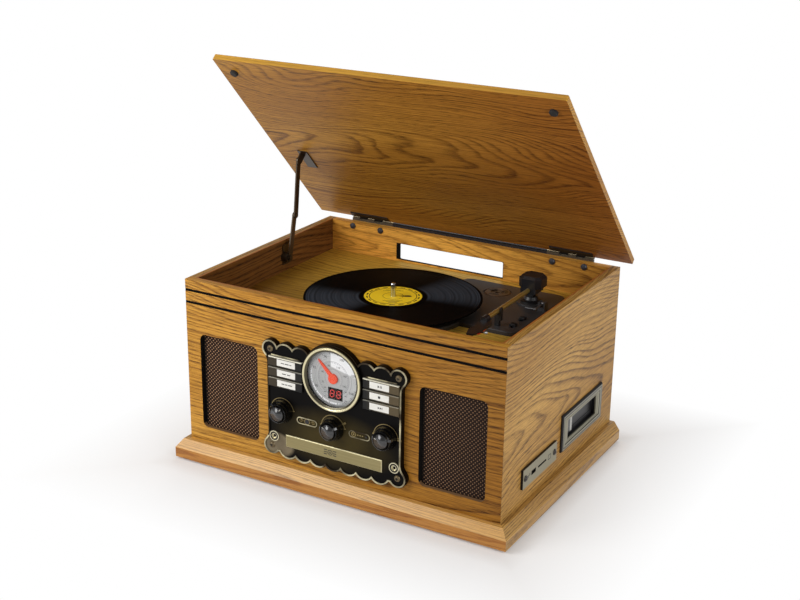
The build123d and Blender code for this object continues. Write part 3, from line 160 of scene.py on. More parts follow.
def oak_grain(add, place, along, across, heart, taper, drift_by, arch, tones, ring=ring_pitch, face=0.0):
    """Growth rings cut as nested arches, fine fibre along the grain, and short dark pores in the rings.

    The rings lean through the thickness, from the face, so that an edge shows lines along it too.
    """
    parts = add("SeparateXYZ", place, take=None).outputs
    depth = add("Math SUBTRACT", parts[3 - along - across], face)
    run = add("Math MULTIPLY_ADD", depth, ring_lean, parts[across])
    noises = []
    for width, length, detail in ((0.12, 0.34, 1.5), (0.02, 0.13, 2), (fibre_width, 0.12, 3),
                                  (pore_width, pore_length, 1), (0.05, 0.3, 2)):
        scale = [1 / width] * 3
        scale[along] = 1 / length
        spot = add("Mapping", {0: place, "Scale": scale})
        noises.append(add("TexNoise", {"Vector": spot, "Scale": 1, "Detail": detail}))
    drift, waver, fibre, pore, patch = noises
    off = add("Math MULTIPLY_ADD", drift, drift_by, run)
    off = add("Math SUBTRACT", off, heart + drift_by / 2)
    height = add("Math MULTIPLY_ADD", parts[along], taper, distance(add, off, arch))
    height = add("Math MULTIPLY_ADD", waver, 0.7 * ring, height)
    wide = add("Math DIVIDE", height, 3.1 * ring)
    swell = add("TexNoise", {"W": wide, "Scale": 1, "Detail": 1}, noise_dimensions="1D")
    rings = add("Math DIVIDE", height, ring)
    rings = add("Math MULTIPLY_ADD", swell, 2.2, rings)
    rings = add("Math MULTIPLY_ADD", fibre, 0.3, rings)
    late = add("ValToRGB", add("Math FRACT", rings), take=None)
    steps = late.color_ramp.elements
    steps[0].position, steps[0].color = 0.0, (0.12, 0.12, 0.12, 1)
    steps[1].position, steps[1].color = 1.0, (0.2, 0.2, 0.2, 1)
    for spot, level in ((0.3, 0.0), (0.55, 0.12), (0.8, 0.75), (0.9, 1.0), (0.96, 0.6)):
        steps.new(spot).color = (level, level, level, 1)
    bold = add("MapRange", patch, 0.36, 0.62, 0.6, 1.0)
    line = add("Math MULTIPLY", late.outputs[0], bold)
    streak = add("MapRange", fibre, 0.46, 0.72, 0, 0.7)
    near_line = add("Math MULTIPLY_ADD", line, 0.75, 0.3)
    dash = add("Math MULTIPLY", add("MapRange", pore, 0.53, 0.62, 0, 0.9), near_line)
    broad = add("MapRange", drift, 0.36, 0.64)
    pale, golden, brown, dark = tones
    colour = coats(add, pale, (broad, golden), (streak, brown), (add("Math MULTIPLY", line, 0.88), brown),
                   (dash, dark))
    return colour, add("Math SUBTRACT", fibre, dash)


def lacquered_oak(name, roughness=0.46, details=None, slope=None, **grain):
    """Satin lacquer over open-grained oak: a soft broad gloss, but matt where it is painted black."""
    made, add, place, parts = begin_finish(name)
    colour, relief = oak_grain(add, slope(add, parts) if slope else place, **grain)
    if details:
        colour = details(add, parts, colour)
    dull = add("MapRange", add("RGBToBW", colour), 0.002, 0.02, 0.95, roughness)
    return end_finish(made, add, {"Base Color": colour, "Roughness": dull, "Specular IOR Level": 0.18}, relief)


def rim_line_and_inside_shade(add, parts, colour):
    """The inner faces are painted darker as shade, and the veneer's edge shows as a brown line round the rim.
    """
    inner_x, inner_y, inner_back = side_x - wall_t, front_y + wall_t, back_y - wall_t
    lap, edge_x, edge_y, top = 0.3 * mm, 2.4 * mm, 2 * mm, rim_z - 0.4 * mm
    inside = within(add, parts, (-inner_x - lap, inner_x + lap), (inner_y - lap, inner_back + lap),
                    (deck_z - 1 * mm, top))
    line = within(add, parts, (-inner_x - edge_x, inner_x + edge_x), (inner_y - edge_y, inner_back + edge_y),
                  (top, None))
    return coats(add, coats(add, colour, (inside, "#A69089"), laid="MULTIPLY"), (line, "#A0622A"))


side_tones = ("#CCA058", "#B68842", "#704C22", "#40280E")
side_grain = {"along": 1, "across": 2, "heart": wall_foot + 0.12, "taper": 0.1, "drift_by": 0.085,
              "arch": 0.018, "tones": side_tones, "ring": 6.2 * mm}


def side_veneer_on_ends(add, parts, colour):
    """The side veneer runs over the ends of the front and back boards."""
    run, _ = oak_grain(add, add("CombineXYZ", *parts), **side_grain, face=side_x)
    sideways = add("MapRange", add("Math ABSOLUTE", facing(add)[0]), 0.5, 0.7)
    outside = within(add, (add("Math ABSOLUTE", parts[0]),), (side_x - 1 * mm, None))
    return coats(add, colour, (add("Math MULTIPLY", sideways, outside), run))


def darker_right(add, parts, colour, start, ahead, tint):
    """Faces that look to the front get painted shade, deeper towards the right."""
    right = add("Math MULTIPLY", add("MapRange", parts[0], start, side_x), within(add, (ahead,), (None, -0.5)))
    return coats(add, colour, (right, tint), laid="MULTIPLY")


stripe_heights = (223.9 * mm, 240.6 * mm)
stripe_w = 3.4 * mm
stripe_depth = 1.2 * mm
grille_low, grille_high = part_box("speaker_grilles")
grille_inner = 0.4 * grille_high.x


def painted_stripes(add, parts, colour):
    """Painted shade deepens to the right; the two grooves and the grille openings are painted black."""
    colour = side_veneer_on_ends(add, parts, rim_line_and_inside_shade(add, parts, colour))
    _, ahead, up = facing(add)
    colour = darker_right(add, parts, colour, -0.02, ahead, "#C8BCAE")
    for height in stripe_heights:
        low = wall_foot + height - stripe_w / 2 - 0.1 * mm
        band = within(add, parts, y=(None, front_y + stripe_depth), z=(low, low + stripe_w + 0.2 * mm))
        colour = coats(add, colour, (band, "#020101"))
    # Inside the grille openings, faces that look up are painted lighter brown as a highlight.
    paint = coats(add, "#0C0806", (add("Math GREATER_THAN", up, 0.5), "#7A5C40"))
    for low, high in ((grille_low.x, -grille_inner), (grille_inner, grille_high.x)):
        hole = within(add, parts, (low - 1 * mm, high + 1 * mm), (front_y + 0.4 * mm, None),
                      (grille_low.z - 1 * mm, grille_high.z + 1 * mm))
        colour = coats(add, colour, (hole, paint))
    return colour


paint_w = 4.5 * mm
window_x = (-106.5 * mm, 64.5 * mm)
window_z = (deck_z + 2.5 * mm, deck_z + 27.5 * mm)


def painted_window(add, parts, colour):
    """Painted shade deepens to the right; the window's edges are painted black, and the paint laps on to the
    face.
    """
    colour = side_veneer_on_ends(add, parts, colour)
    colour = darker_right(add, parts, colour, 0.0, facing(add)[1], "#BCB2A0")
    hole = within(add, parts, (window_x[0] - paint_w, window_x[1]), z=window_z)
    return coats(add, colour, (hole, "#060403"))


def darker_corner(add, parts, colour):
    """Painted shade lies thick and dark towards the left front corner."""
    slant = add("Math MULTIPLY_ADD", parts[1], 0.8, parts[0])
    return coats(add, colour, (add("MapRange", slant, -0.1, -0.27), "#8C7472"), laid="MULTIPLY")


front_tones = ("#D8A144", "#C68C32", "#80501A", "#48290A")
# The back board's tones are brighter than the front's: painted light for the lamp on the inner back wall.
back_tones = ("#FFC054", "#E8A442", "#9C6622", "#5E3812")
floor_tones = ("#E4BC50", "#D0A63E", "#9C762A", "#6A4A1C")
dress_nodes(lacquered_oak("oak_veneer_front", details=painted_stripes, along=0, across=2, heart=0.05,
                          taper=0.03, drift_by=0.09, arch=0.02, tones=front_tones, face=front_y),
            "front_baffle")
for name, face in (("left_side_panel", -side_x), ("right_side_panel", side_x)):
    dress_nodes(lacquered_oak(f"oak_veneer_{name}", details=rim_line_and_inside_shade, face=face, **side_grain), name)
dress_nodes(lacquered_oak("oak_veneer_back", details=painted_window, along=0, across=2, heart=0.235, taper=0.1,
                          drift_by=0.1, arch=0.015, tones=back_tones, face=back_y - wall_t), "back_panel")
dress_nodes(lacquered_oak("oak_veneer_deck", 0.55, details=darker_corner, along=0, across=1, heart=0.02,
                          taper=0.1, drift_by=0.1, arch=0.02, tones=floor_tones, ring=8 * mm),
            "deck_board", "bottom_board")

# ------------------------------------------------------------------ plinth and feet
# Solid oak moulding mitred round three sides: a wide bevel painted paler as a highlight, over an upright
# face painted a darker red. Four moulded rubber feet hold it off the table.
plinth_tones = ("#DCA656", "#C88E3E", "#84501C", "#56300E")
bevel_lean = 1.3


def mitred_moulding():
    """Grain that follows each length and turns at the mitre, under a harder gloss than the boards have."""
    made, add, place, parts = begin_finish("solid_oak_moulding")
    reach = add("Math ABSOLUTE", parts[0])
    front_lean = add("Math MULTIPLY_ADD", parts[2], bevel_lean, parts[1])
    side_lean = add("Math MULTIPLY_ADD", parts[2], -bevel_lean, reach)
    front_place = add("CombineXYZ", parts[0], front_lean, 0.0)
    side_place = add("CombineXYZ", side_lean, parts[1], 0.0)
    front_run, relief = oak_grain(add, front_place, 0, 1, front_y, 0.02, 0.03, 0.02, plinth_tones, 3 * mm)
    side_run, _ = oak_grain(add, side_place, 1, 0, side_x, 0.02, 0.03, 0.02, side_tones, 3.4 * mm)
    on_side = add("Math GREATER_THAN", add("Math ADD", reach, parts[1]), side_x + front_y)
    colour = coats(add, front_run, (on_side, side_run))
    up = facing(add)[2]
    in_front = add("Math SUBTRACT", 1.0, on_side)
    # Faces tilted up are painted paler as a highlight; the upright front faces are painted a darker red.
    for until, share, tint in ((0.4, 0.16, "#ECC878"), (0.1, 0.45, "#A05A10")):
        tinted = add("Math MULTIPLY", add("MapRange", up, 0.25, until, 0, share), in_front)
        colour = coats(add, colour, (tinted, tint))
    return end_finish(made, add, {"Base Color": colour, "Roughness": 0.4, "Specular IOR Level": 0.35,
                                  "Coat Weight": 0.2, "Coat Roughness": 0.2}, relief)


def plain_finish(name, colour, roughness, metallic=0.0, grain=1.2 * mm, depth=0.02 * mm, mottle=0.12,
                 details=None, **more):
    """A moulded, painted or plated surface: slight mottling and a fine grain you feel more than see."""
    made, add, place, parts = begin_finish(name)
    fine = add("TexNoise", {"Vector": place, "Scale": 1 / grain, "Detail": 2})
    broad = add("TexNoise", {"Vector": place, "Scale": 14, "Detail": 3})
    tone = linear(colour)
    shadow = [part * (1 - mottle * 2) for part in tone[:3]] + [1]
    whole = coats(add, shadow, (add("MapRange", broad, 0.3, 0.7), tone))
    if details:
        whole = details(add, parts, whole)
    return end_finish(made, add, {"Base Color": whole, "Roughness": roughness, "Metallic": metallic, **more},
                      fine, 0.3, depth)


dress_nodes(mitred_moulding(), "plinth_mouldings")
# Moulded rubber: soft and dull, with hardly a highlight.
black_rubber = plain_finish("soft_black_rubber", "#1E1C1B", 0.75)
dress_nodes(black_rubber, "rubber_feet")

# ------------------------------------------------------------------ speaker grilles and drivers
# Basket-woven cloth of tan and dark brown threads, stretched over a board set back in a rebate. Paper
# cones in pressed baskets stand behind it.
thread_pitch = 2.7 * mm
opening_x = 166.7 * mm
opening_w = 92.8 * mm
darkened_w = 7 * mm


def woven_cloth():
    """Each crossing stands up as a bead with a painted highlight; gaps go black, each left edge painted shadow.
    """
    made, add, place, parts = begin_finish("basket_woven_cloth")
    waves = [add("Math SINE", add("Math MULTIPLY", part, pi / thread_pitch)) for part in (parts[0], parts[2])]
    over = add("Math MULTIPLY", *waves)
    lift = add("Math ABSOLUTE", over)
    warp = add("MapRange", over, -0.1, 0.1)
    fluff = add("TexNoise", {"Vector": place, "Scale": 700, "Detail": 2})
    crown = add("MapRange", lift, 0.2, 0.7)
    # The crowns of the threads are painted lighter as a highlight.
    crown_highlight = add("Math MULTIPLY", add("MapRange", lift, 0.6, 0.95), warp)
    thread = coats(add, "#3A2418", (warp, "#9A7050"), (crown_highlight, "#D2A67C"),
                   (add("Math MULTIPLY", fluff, 0.35), "#35201A"))
    # The right grille is painted darker towards its right, as shade.
    right = add("MapRange", parts[0], 0, 0.2, 0, 0.5)
    colour = coats(add, "#120A06", (crown, thread), (right, "#150C07"))
    # The cloth beside each opening's left edge is painted black as the rebate's shadow.
    for edge in (-opening_x - opening_w / 2, opening_x - opening_w / 2):
        rebate_shadow = add("MapRange", parts[0], edge + darkened_w, edge + darkened_w / 3)
        beside = within(add, parts, (edge - 5 * mm, edge + opening_w / 2))
        colour = coats(add, colour, (add("Math MULTIPLY", rebate_shadow, beside), "#0A0604"))
    return end_finish(made, add, {"Base Color": colour, "Roughness": 0.8, "Specular IOR Level": 0.2}, lift, 0.9,
                      0.7 * mm)


dress_nodes(woven_cloth(), "speaker_grilles")
# Pressed paper pulp: quite matt.
dress_nodes(plain_finish("pressed_paper_cone", "#232220", 0.8), "speaker_drivers")

# ------------------------------------------------------------------ fascia
# Zinc casting, chemically blackened then rubbed, so that the raised bead, ledges and plaque rims show
# pale brass and the field goes from black at the top to olive bronze low in the middle. Painted light
# lies over it: a sheen in that olive middle, a highlight on the ledges, shade down the bead's left edge.
fascia_y = front_y - 7 * mm
rub_y = fascia_y - 0.4 * mm
ledge_x = (46 * mm, 93 * mm)
ledge_z = (wall_foot + 173 * mm, wall_foot + 180 * mm)
gauge_low, gauge_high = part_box("gauge_bezel")
gauge_x = (gauge_low.x + gauge_high.x) / 2
gauge_z = (gauge_low.z + gauge_high.z) / 2


def oval_patch(add, parts, x, z, half_w, half_h, inner, outer):
    """1 in the middle of an oval on the front, fading to 0 at its edge."""
    across = add("Math DIVIDE", add("Math SUBTRACT", parts[0], x), half_w)
    up = add("Math DIVIDE", add("Math SUBTRACT", parts[2], z), half_h)
    return add("MapRange", distance(add, across, up), outer, inner)


def blackened_bronze():
    """Black patina that breaks to a soft brassy gleam where the rubbing pad reached, with painted sheen and
    shade over it.
    """
    made, add, place, parts = begin_finish("blackened_zinc_casting")
    patch = add("TexNoise", {"Vector": place, "Scale": 30, "Detail": 4})
    fine = add("TexNoise", {"Vector": place, "Scale": 700, "Detail": 2})
    # The olive patch low in the middle is partly rubbed bronze and partly a painted sheen.
    middle = oval_patch(add, parts, 0.0, wall_foot + 82 * mm, 0.095, 0.042, 0.35, 1.05)
    corner = oval_patch(add, parts, -0.09, wall_foot + 55 * mm, 0.03, 0.018, 0.85, 1.05)
    worn = add("MapRange", patch, 0.45, 0.75, 0, 0.5)
    field = coats(add, "#060403", (middle, "#40361A"), (corner, "#7C705A"), (worn, "#060403"))
    # Rubbed brass on the raised bead, its bright patches partly a painted highlight; the left edge is painted
    # darker as shade.
    wear_and_highlight = add("MapRange", patch, 0.38, 0.6)
    left_edge_shade = within(add, parts, x=(None, -88 * mm), z=(wall_foot + 66 * mm, wall_foot + 178 * mm))
    wide = gauge_high.z - gauge_low.z
    near_gauge = oval_patch(add, parts, gauge_x, gauge_z, wide, wide, 0.6, 0.62)
    brass = coats(add, "#40362A", (wear_and_highlight, "#DCD2AC"), (left_edge_shade, "#2A2216"), (near_gauge, "#3A3022"))
    raised = within(add, parts, y=(None, rub_y))
    edge = within(add, parts, y=(fascia_y + 0.2 * mm, None))
    # The ledge tops are painted near white as a highlight.
    ledge_highlight = within(add, (add("Math ABSOLUTE", parts[0]), parts[1], parts[2]), ledge_x, (None, rub_y), ledge_z)
    colour = coats(add, field, (raised, brass), (ledge_highlight, "#F8F4E2"), (edge, "#060403"))
    rough = add("MapRange", patch, 0, 1, 0.3, 0.46)
    return end_finish(made, add, {"Base Color": colour, "Metallic": 0.25, "Roughness": rough,
                                  "Specular IOR Level": 0.1}, fine, 0.3, 0.04 * mm)


def dark_rear_screws(add, parts, colour):
    """The screws of the data plate on the right are blued, not bronzed."""
    on_side = within(add, parts, (side_x - 1 * mm, None))
    inside = within(add, parts, (None, side_x - 1 * mm), (front_y + 20 * mm, None))
    return coats(add, colour, (on_side, "#3A3634"), (inside, "#4A4A50"))


dress_nodes(blackened_bronze(), "fascia_plate")
# Bronzed steel: a small warm glint on each head. Their crosses are flat dark plates, painted shade for deep
# recesses.
dress_nodes(plain_finish("bronzed_steel_screws", "#76664A", 0.3, 0.6, details=dark_rear_screws),
            "fixing_screws")
recess_shade = plain_finish("dark_screw_recess", "#120E0A", 0.6)
screw_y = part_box("fixing_screws")[0].y
screw_spots = ((-95, 188.2), (95, 188.2), (-94.6, 53), (94.6, 53))


def put_in_scene(name, data):
    made = bpy.data.objects.new(name, data)
    bpy.context.scene.collection.objects.link(made)
    return made


def hand_over(name, mesh, material, body):
    """The finished mesh as a piece that is dressed and rides on its body."""
    piece = put_in_scene(name, mesh)
    dress(piece, material)
    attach(piece, body)


def piece_from(name, shell, material, body="cabinet"):
    """A closed shell as a piece, with its faces turned outwards."""
    bmesh.ops.recalc_face_normals(shell, faces=shell.faces)
    mesh = bpy.data.meshes.new(name)
    shell.to_mesh(mesh)
    shell.free()
    hand_over(name, mesh, material, body)


def plates(place, low, high, *outlines, shell=None):
    """Flat plates, all in millimetres: outlines carried by place, from low to high along its normal."""
    shell = shell or bmesh.new()
    for outline in outlines:
        rings = [[shell.verts.new(place @ Vector((x * mm, y * mm, level * mm))) for x, y in outline]
                 for level in (low, high)]
        shell.faces.new(rings[0])
        shell.faces.new(rings[1])
        for n in range(len(outline)):
            after = (n + 1) % len(outline)
            shell.faces.new((rings[0][n], rings[0][after], rings[1][after], rings[1][n]))
    return shell


def box_outline(w, h, x=0, y=0):
    return [(x - w / 2, y - h / 2), (x + w / 2, y - h / 2), (x + w / 2, y + h / 2), (x - w / 2, y + h / 2)]


def facing_front(x, y, z):
    """Local X to the right, local Y up and local Z out towards the listener."""
    return Matrix.Translation((x, y, z)) @ Matrix(((1, 0, 0), (0, 0, -1), (0, 1, 0))).to_4x4()


crosses = bmesh.new()
for x, z in screw_spots:
    spot = facing_front(x * mm, screw_y - 0.02 * mm, wall_foot + z * mm)
    plates(spot, 0, 0.06, box_outline(4.6, 1.2), box_outline(1.2, 4.6), shell=crosses)
piece_from("screw_crosses", crosses, recess_shade)

# ------------------------------------------------------------------ gauge
# A spun cream-brass bezel in a black outer ring, painted as its shadow, over a satin silver dial with
# printed rings, ticks, numbers, painted glare and painted shade. An orange pointer turns under a clear
# cover, above a small window of red lamp digits.
dial_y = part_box("gauge_dial")[0].y
on_dial = facing_front(gauge_x, dial_y - 0.05 * mm, gauge_z)


def spun_finish(name, bands, roughness, metallic, ring=0.35 * mm, details=None):
    """Turned on a lathe: fine rings about the centre, and bands of colour from the middle outwards."""
    made, add, place, parts = begin_finish(name)
    shifted = add("Mapping", {0: place, "Location": (-gauge_x, -dial_y, -gauge_z)})
    near = add("SeparateXYZ", shifted, take=None).outputs
    reach = distance(add, near[0], near[2])
    rings = add("TexNoise", {"W": add("Math DIVIDE", reach, ring), "Scale": 1}, noise_dimensions="1D")
    colour = bands[0][1]
    for start, hue in bands[1:]:
        past = add("MapRange", reach, start - 0.25 * mm, start + 0.25 * mm)
        colour = coats(add, colour, (past, hue))
    if details:
        colour = details(add, near, reach, colour)
    colour = coats(add, colour, (add("MapRange", rings, 0.35, 0.65, 0.16, 0), "#1A1714"))
    return end_finish(made, add, {"Base Color": colour, "Metallic": metallic, "Roughness": roughness}, rings,
                      0.22, 0.05 * mm)


def dial_glare_and_shade(add, near, reach, colour):
    """Painted reflections whiten the upper right and a band at the lower left; painted shade darkens the lower
    left.
    """
    fall = add("Math MULTIPLY_ADD", near[0], -0.24, 15 * mm)
    upper = add("MapRange", add("Math SUBTRACT", near[2], fall), -1.5 * mm, 0.8 * mm)
    right = add("MapRange", near[0], -5 * mm, -3.5 * mm)
    inner = add("MapRange", reach, 33.6 * mm, 32.8 * mm)
    sector = add("Math MULTIPLY", add("Math MULTIPLY", upper, right), inner)
    ring_in = add("MapRange", reach, 32 * mm, 32.8 * mm)
    ring_out = add("MapRange", reach, 35.4 * mm, 34.8 * mm)
    slant = add("Math ADD", near[0], near[2])
    low_left = add("MapRange", slant, -18 * mm, -30 * mm)
    crescent = add("Math MULTIPLY", add("Math MULTIPLY", ring_in, ring_out), low_left)
    dark = add("MapRange", slant, 30 * mm, -45 * mm, 0, 0.35)
    return coats(add, colour, (dark, "#8C8C8A"), (add("Math MULTIPLY", sector, 0.9), "#FFFFFF"),
                 (crescent, "#FFFFFF"))


# The outermost black band is painted shadow round the bezel.
bezel_bands = ((0, "#55503F"), (38.9 * mm, "#4A4430"), (39.7 * mm, "#E6DCB4"), (42.5 * mm, "#6E6240"),
               (43.1 * mm, "#12100C"))
dress_nodes(spun_finish("spun_cream_brass", bezel_bands, 0.26, 0.75), "gauge_bezel")
dial_bands = ((0, "#C4C4C3"), (12 * mm, "#BCBCBB"), (24 * mm, "#C8C8C7"), (36 * mm, "#B0B0AF"))
dress_nodes(spun_finish("satin_silver_dial", dial_bands, 0.45, 0.2, 0.8 * mm, dial_glare_and_shade), "gauge_dial")
# Moulded in bright orange: flat and even, the first thing that the eye finds.
dress_nodes(plain_finish("orange_moulded_pointer", "#EE4A1E", 0.4, mottle=0.05), "gauge_needle")
# Screen-printed inks: even, and duller than the silver under them.
grey_ink = plain_finish("grey_screen_ink", "#76767A", 0.55, mottle=0.05)
dark_ink = plain_finish("dark_screen_ink", "#242428", 0.55, mottle=0.05)


def ring_of_marks():
    """Small bars set evenly round a circle, each pointing at the centre."""
    tree = bpy.data.node_groups.new("ring_of_marks", "GeometryNodeTree")
    for label, kind, value in (("Count", "Int", 60), ("Radius", "Float", 0.03), ("Length", "Float", 0.002),
                               ("Width", "Float", 0.0003), ("Height", "Float", 0.0001),
                               ("Finish", "Material", None)):
        made = tree.interface.new_socket(label, in_out="INPUT", socket_type="NodeSocket" + kind)
        if value is not None:
            made.default_value = value
    tree.interface.new_socket("Geometry", in_out="OUTPUT", socket_type="NodeSocketGeometry")
    add = node_adder(tree)
    given = add("NodeGroupInput", take=None).outputs
    circle = add("GeometryNodeMeshCircle", {"Vertices": given["Count"], "Radius": given["Radius"]})
    size = add("CombineXYZ", given["Length"], given["Width"], given["Height"])
    bar = add("GeometryNodeMeshCube", {"Size": size}, take="Mesh")
    aim = add("FunctionNodeAlignRotationToVector", {"Vector": add("GeometryNodeInputPosition")}, axis="X")
    spread = add("GeometryNodeInstanceOnPoints", {"Points": circle, "Instance": bar, "Rotation": aim})
    real = add("GeometryNodeRealizeInstances", spread)
    painted = add("GeometryNodeSetMaterial", {"Geometry": real, "Material": given["Finish"]})
    add("NodeGroupOutput", painted, take=None)
    return tree


def settle(name, data, place, material, slot_name, body="cabinet", tree=None, **values):
    """A curve, or what a Geometry Nodes tree makes with its values, as a plain mesh where it belongs."""
    holder = put_in_scene(name, data)
    holder.matrix_world = place
    if tree:
        modifier = holder.modifiers.new("form", "NODES")
        modifier.node_group = tree
        for item in tree.interface.items_tree:
            if item.name in values:
                modifier[item.identifier] = values[item.name]
    bpy.context.view_layer.update()
    graph = bpy.context.evaluated_depsgraph_get()
    mesh = bpy.data.meshes.new_from_object(holder.evaluated_get(graph), depsgraph=graph)
    mesh.transform(holder.matrix_world)
    bpy.data.objects.remove(holder)
    hand_over(name, mesh, material, body)


marks_tree = ring_of_marks()
for name, ink, count, r, length, w in (("dial_fine_ticks", dark_ink, 90, 34.4, 1.5, 0.35),
                                       ("dial_long_ticks", dark_ink, 18, 33.8, 3, 0.6),
                                       ("dial_inner_ticks", grey_ink, 54, 21.2, 1.4, 0.35)):
    settle(name, bpy.data.meshes.new(name), on_dial, ink, "dial_silver", tree=marks_tree, Count=count,
           Radius=r * mm, Length=length * mm, Width=w * mm, Height=0.1 * mm, Finish=ink)


def sector_outline(inner, outer, start=0, end=359.9, count=24):
    """A piece of a ring between two angles in degrees."""
    turn = [radians(start + (end - start) * n / count) for n in range(count + 1)]
    ring = [(outer * cos(a), outer * sin(a)) for a in turn]
    return ring + [(inner * cos(a), inner * sin(a)) for a in reversed(turn)]


arcs = [sector_outline(*arc, 96) for arc in (
    (36.2, 36.5, 0, 359.9), (26.4, 26.7, -50, 20), (26.4, 26.7, 110, 250), (22.6, 22.9, -70, 250),
    (12.4, 12.6, -40, 220), (29.2, 29.4, 100, 240))]
piece_from("dial_printed_arcs", plates(on_dial, 0, 0.08, *arcs), grey_ink)
dashes = [box_outline(3.2, 0.7, x + 2.5, y) for x in (-15.5, 15.5) for y in (-14.5, -20.5, -26.5)]
piece_from("dial_side_dashes", plates(on_dial, 0, 0.1, *dashes), dark_ink)

dial_scales = (("outer_number", ("88", "92", "96", "100", "104", "108"), 30 * mm, 210, 48, 4.8 * mm),
               ("inner_number", ("53", "60", "80", "110", "140", "160"), 17.4 * mm, 205, 46, 3.8 * mm))
for label, words, r, start, step, size in dial_scales:
    for n, word in enumerate(words):
        turn = radians(start - step * n)
        figures = bpy.data.curves.new(f"{label}_{n}", "FONT")
        figures.body = word
        figures.size = size
        figures.extrude = 0.04 * mm
        figures.align_x = figures.align_y = "CENTER"
        spot = on_dial @ Matrix.Translation((r * cos(turn), r * sin(turn), 0.05 * mm))
        settle(f"{label}_{n}", figures, spot, dark_ink, "dial_silver")


def clear_cover():
    """Moulded clear styrene: almost unseen, with a hard clean gloss."""
    made, add, *_ = begin_finish("clear_moulded_styrene")
    return end_finish(made, add, {"Base Color": (1, 1, 1, 1), "Roughness": 0.03, "IOR": 1.2,
                                  "Transmission Weight": 1.0})


def lamp_red():
    """Tinted lamp segments, lit from behind but dim in a bright room."""
    made, add, *_ = begin_finish("red_lamp_segments")
    return end_finish(made, add, {"Base Color": linear("#8A1414"), "Roughness": 0.4,
                                  "Emission Color": linear("#D8382C"), "Emission Strength": 0.85})


dress_nodes(clear_cover(), "gauge_lens")
# Smoked acrylic: near black and glossy, so that only the lit digits show.
dress_nodes(plain_finish("smoked_display_window", "#030202", 0.3, **{"Specular IOR Level": 0.1}), "led_display")
led_low, led_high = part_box("led_display")
led_place = facing_front((led_low.x + led_high.x) / 2, led_low.y, (led_low.z + led_high.z) / 2)
segment_w, segment_h, segment_t, digit_slant = 5.4, 9.2, 1.05, 0.12
segments = []
for centre in (-4.8, 4.8):
    for level in (-1, 0, 1):
        y = level * segment_h / 2
        segments.append(box_outline(segment_w - 1.8 * segment_t, segment_t, centre + y * digit_slant, y))
    for side in (-1, 1):
        for level in (-1, 1):
            y = level * segment_h / 4
            x = centre + side * segment_w / 2 + y * digit_slant
            segments.append(box_outline(segment_t, segment_h / 2 - 1.1 * segment_t, x, y))
piece_from("display_digits", plates(led_place, 0, 0.1, *segments), lamp_red())

# ------------------------------------------------------------------ keys
# Six moulded bars plated dark bronze, a highlight painted along their chamfered top edges. Each has a
# white plate let into its recess, printed with plain symbols in black.
label_w, label_h, label_t = 27.8, 8.8, 0.24
label_x = 69.1 * mm


def key_plating_and_highlights(add, parts, colour):
    """Plating is blacker to the left and towards the gauge; the upper chamfers, most on the top key, carry a
    painted highlight.
    """
    outer = add("MapRange", add("Math ABSOLUTE", parts[0]), 50 * mm, 84 * mm)
    outer = add("Math MULTIPLY", outer, add("MapRange", parts[0], -10 * mm, 10 * mm, 0.4, 1))
    # Faces that look up are painted near white as a highlight, most of all on the top key.
    upper = add("MapRange", facing(add)[2], 0.35, 0.6)
    top_key = within(add, parts, z=(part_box("left_key_1")[1].z - 4 * mm, None))
    wear_and_highlight = add("Math MULTIPLY", upper, add("MapRange", top_key, 0, 1, 0.2, 0.9))
    return coats(add, "#0A0806", (outer, colour), (wear_and_highlight, "#EEE8D2"))


def bars(*widths, height=1.1):
    return [box_outline(w, height, x) for x, w in widths]


# Bronze plate on moulded keys: a dim warm gleam on their faces, and a painted highlight along the upper edges.
key_bronze = plain_finish("bronze_plated_keys", "#5A4C32", 0.34, 0.4, details=key_plating_and_highlights)
# Moulded white plates, clean and even, and the soft black ink printed on them.
label_white = plain_finish("white_label_plate", "#ECEAE3", 0.4, mottle=0.03)
symbol_black = plain_finish("black_symbol_ink", "#1A1A1C", 0.5, mottle=0.05)
key_marks = {
    "left_key_1": bars((-5, 5), (1.5, 6), (7, 3)),
    "left_key_2": bars((-3, 6), (4, 5)),
    "left_key_3": bars((-5, 4), (0, 4), (6, 6)),
    "right_key_1": [[(-2.2, -1.7), (1, 0), (-2.2, 1.7)], *bars((2, 0.7), (3.4, 0.7), height=3.2)],
    "right_key_2": bars((0, 3.2), height=3.2),
    "right_key_3": [[(x, -1.5), (x + 2.6, 0), (x, 1.5)] for x in (-1.8, 1.2)] + bars((4.4, 0.6), height=3),
}
for name, marks in key_marks.items():
    dress_nodes(key_bronze, name)
    low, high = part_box(name)
    side = -1 if high.x < 0 else 1
    recess = facing_front(side * label_x, low.y + 0.3 * mm, (low.z + high.z) / 2)
    face = recess @ Matrix.Translation((0, 0, label_t * mm))
    plate = plates(recess, 0, label_t, box_outline(label_w, label_h))
    piece_from(f"{name}_plate", plate, label_white, f"{name}_body")
    piece_from(f"{name}_symbol", plates(face, 0, 0.05, *marks), symbol_black, f"{name}_body")

# ------------------------------------------------------------------ knobs
# Turned knobs in gloss black with a finely ribbed grip, a wider skirt and a line that points at the
# scale. A brass arc and two ticks are inlaid in the fascia behind each one.
# Brass rubbed level with the casting: thin warm lines that catch the light.
inlay_brass = plain_finish("inlaid_brass", "#9A875A", 0.3, 0.8)
rib_r = 12.4 * mm
crown_depth = 8 * mm


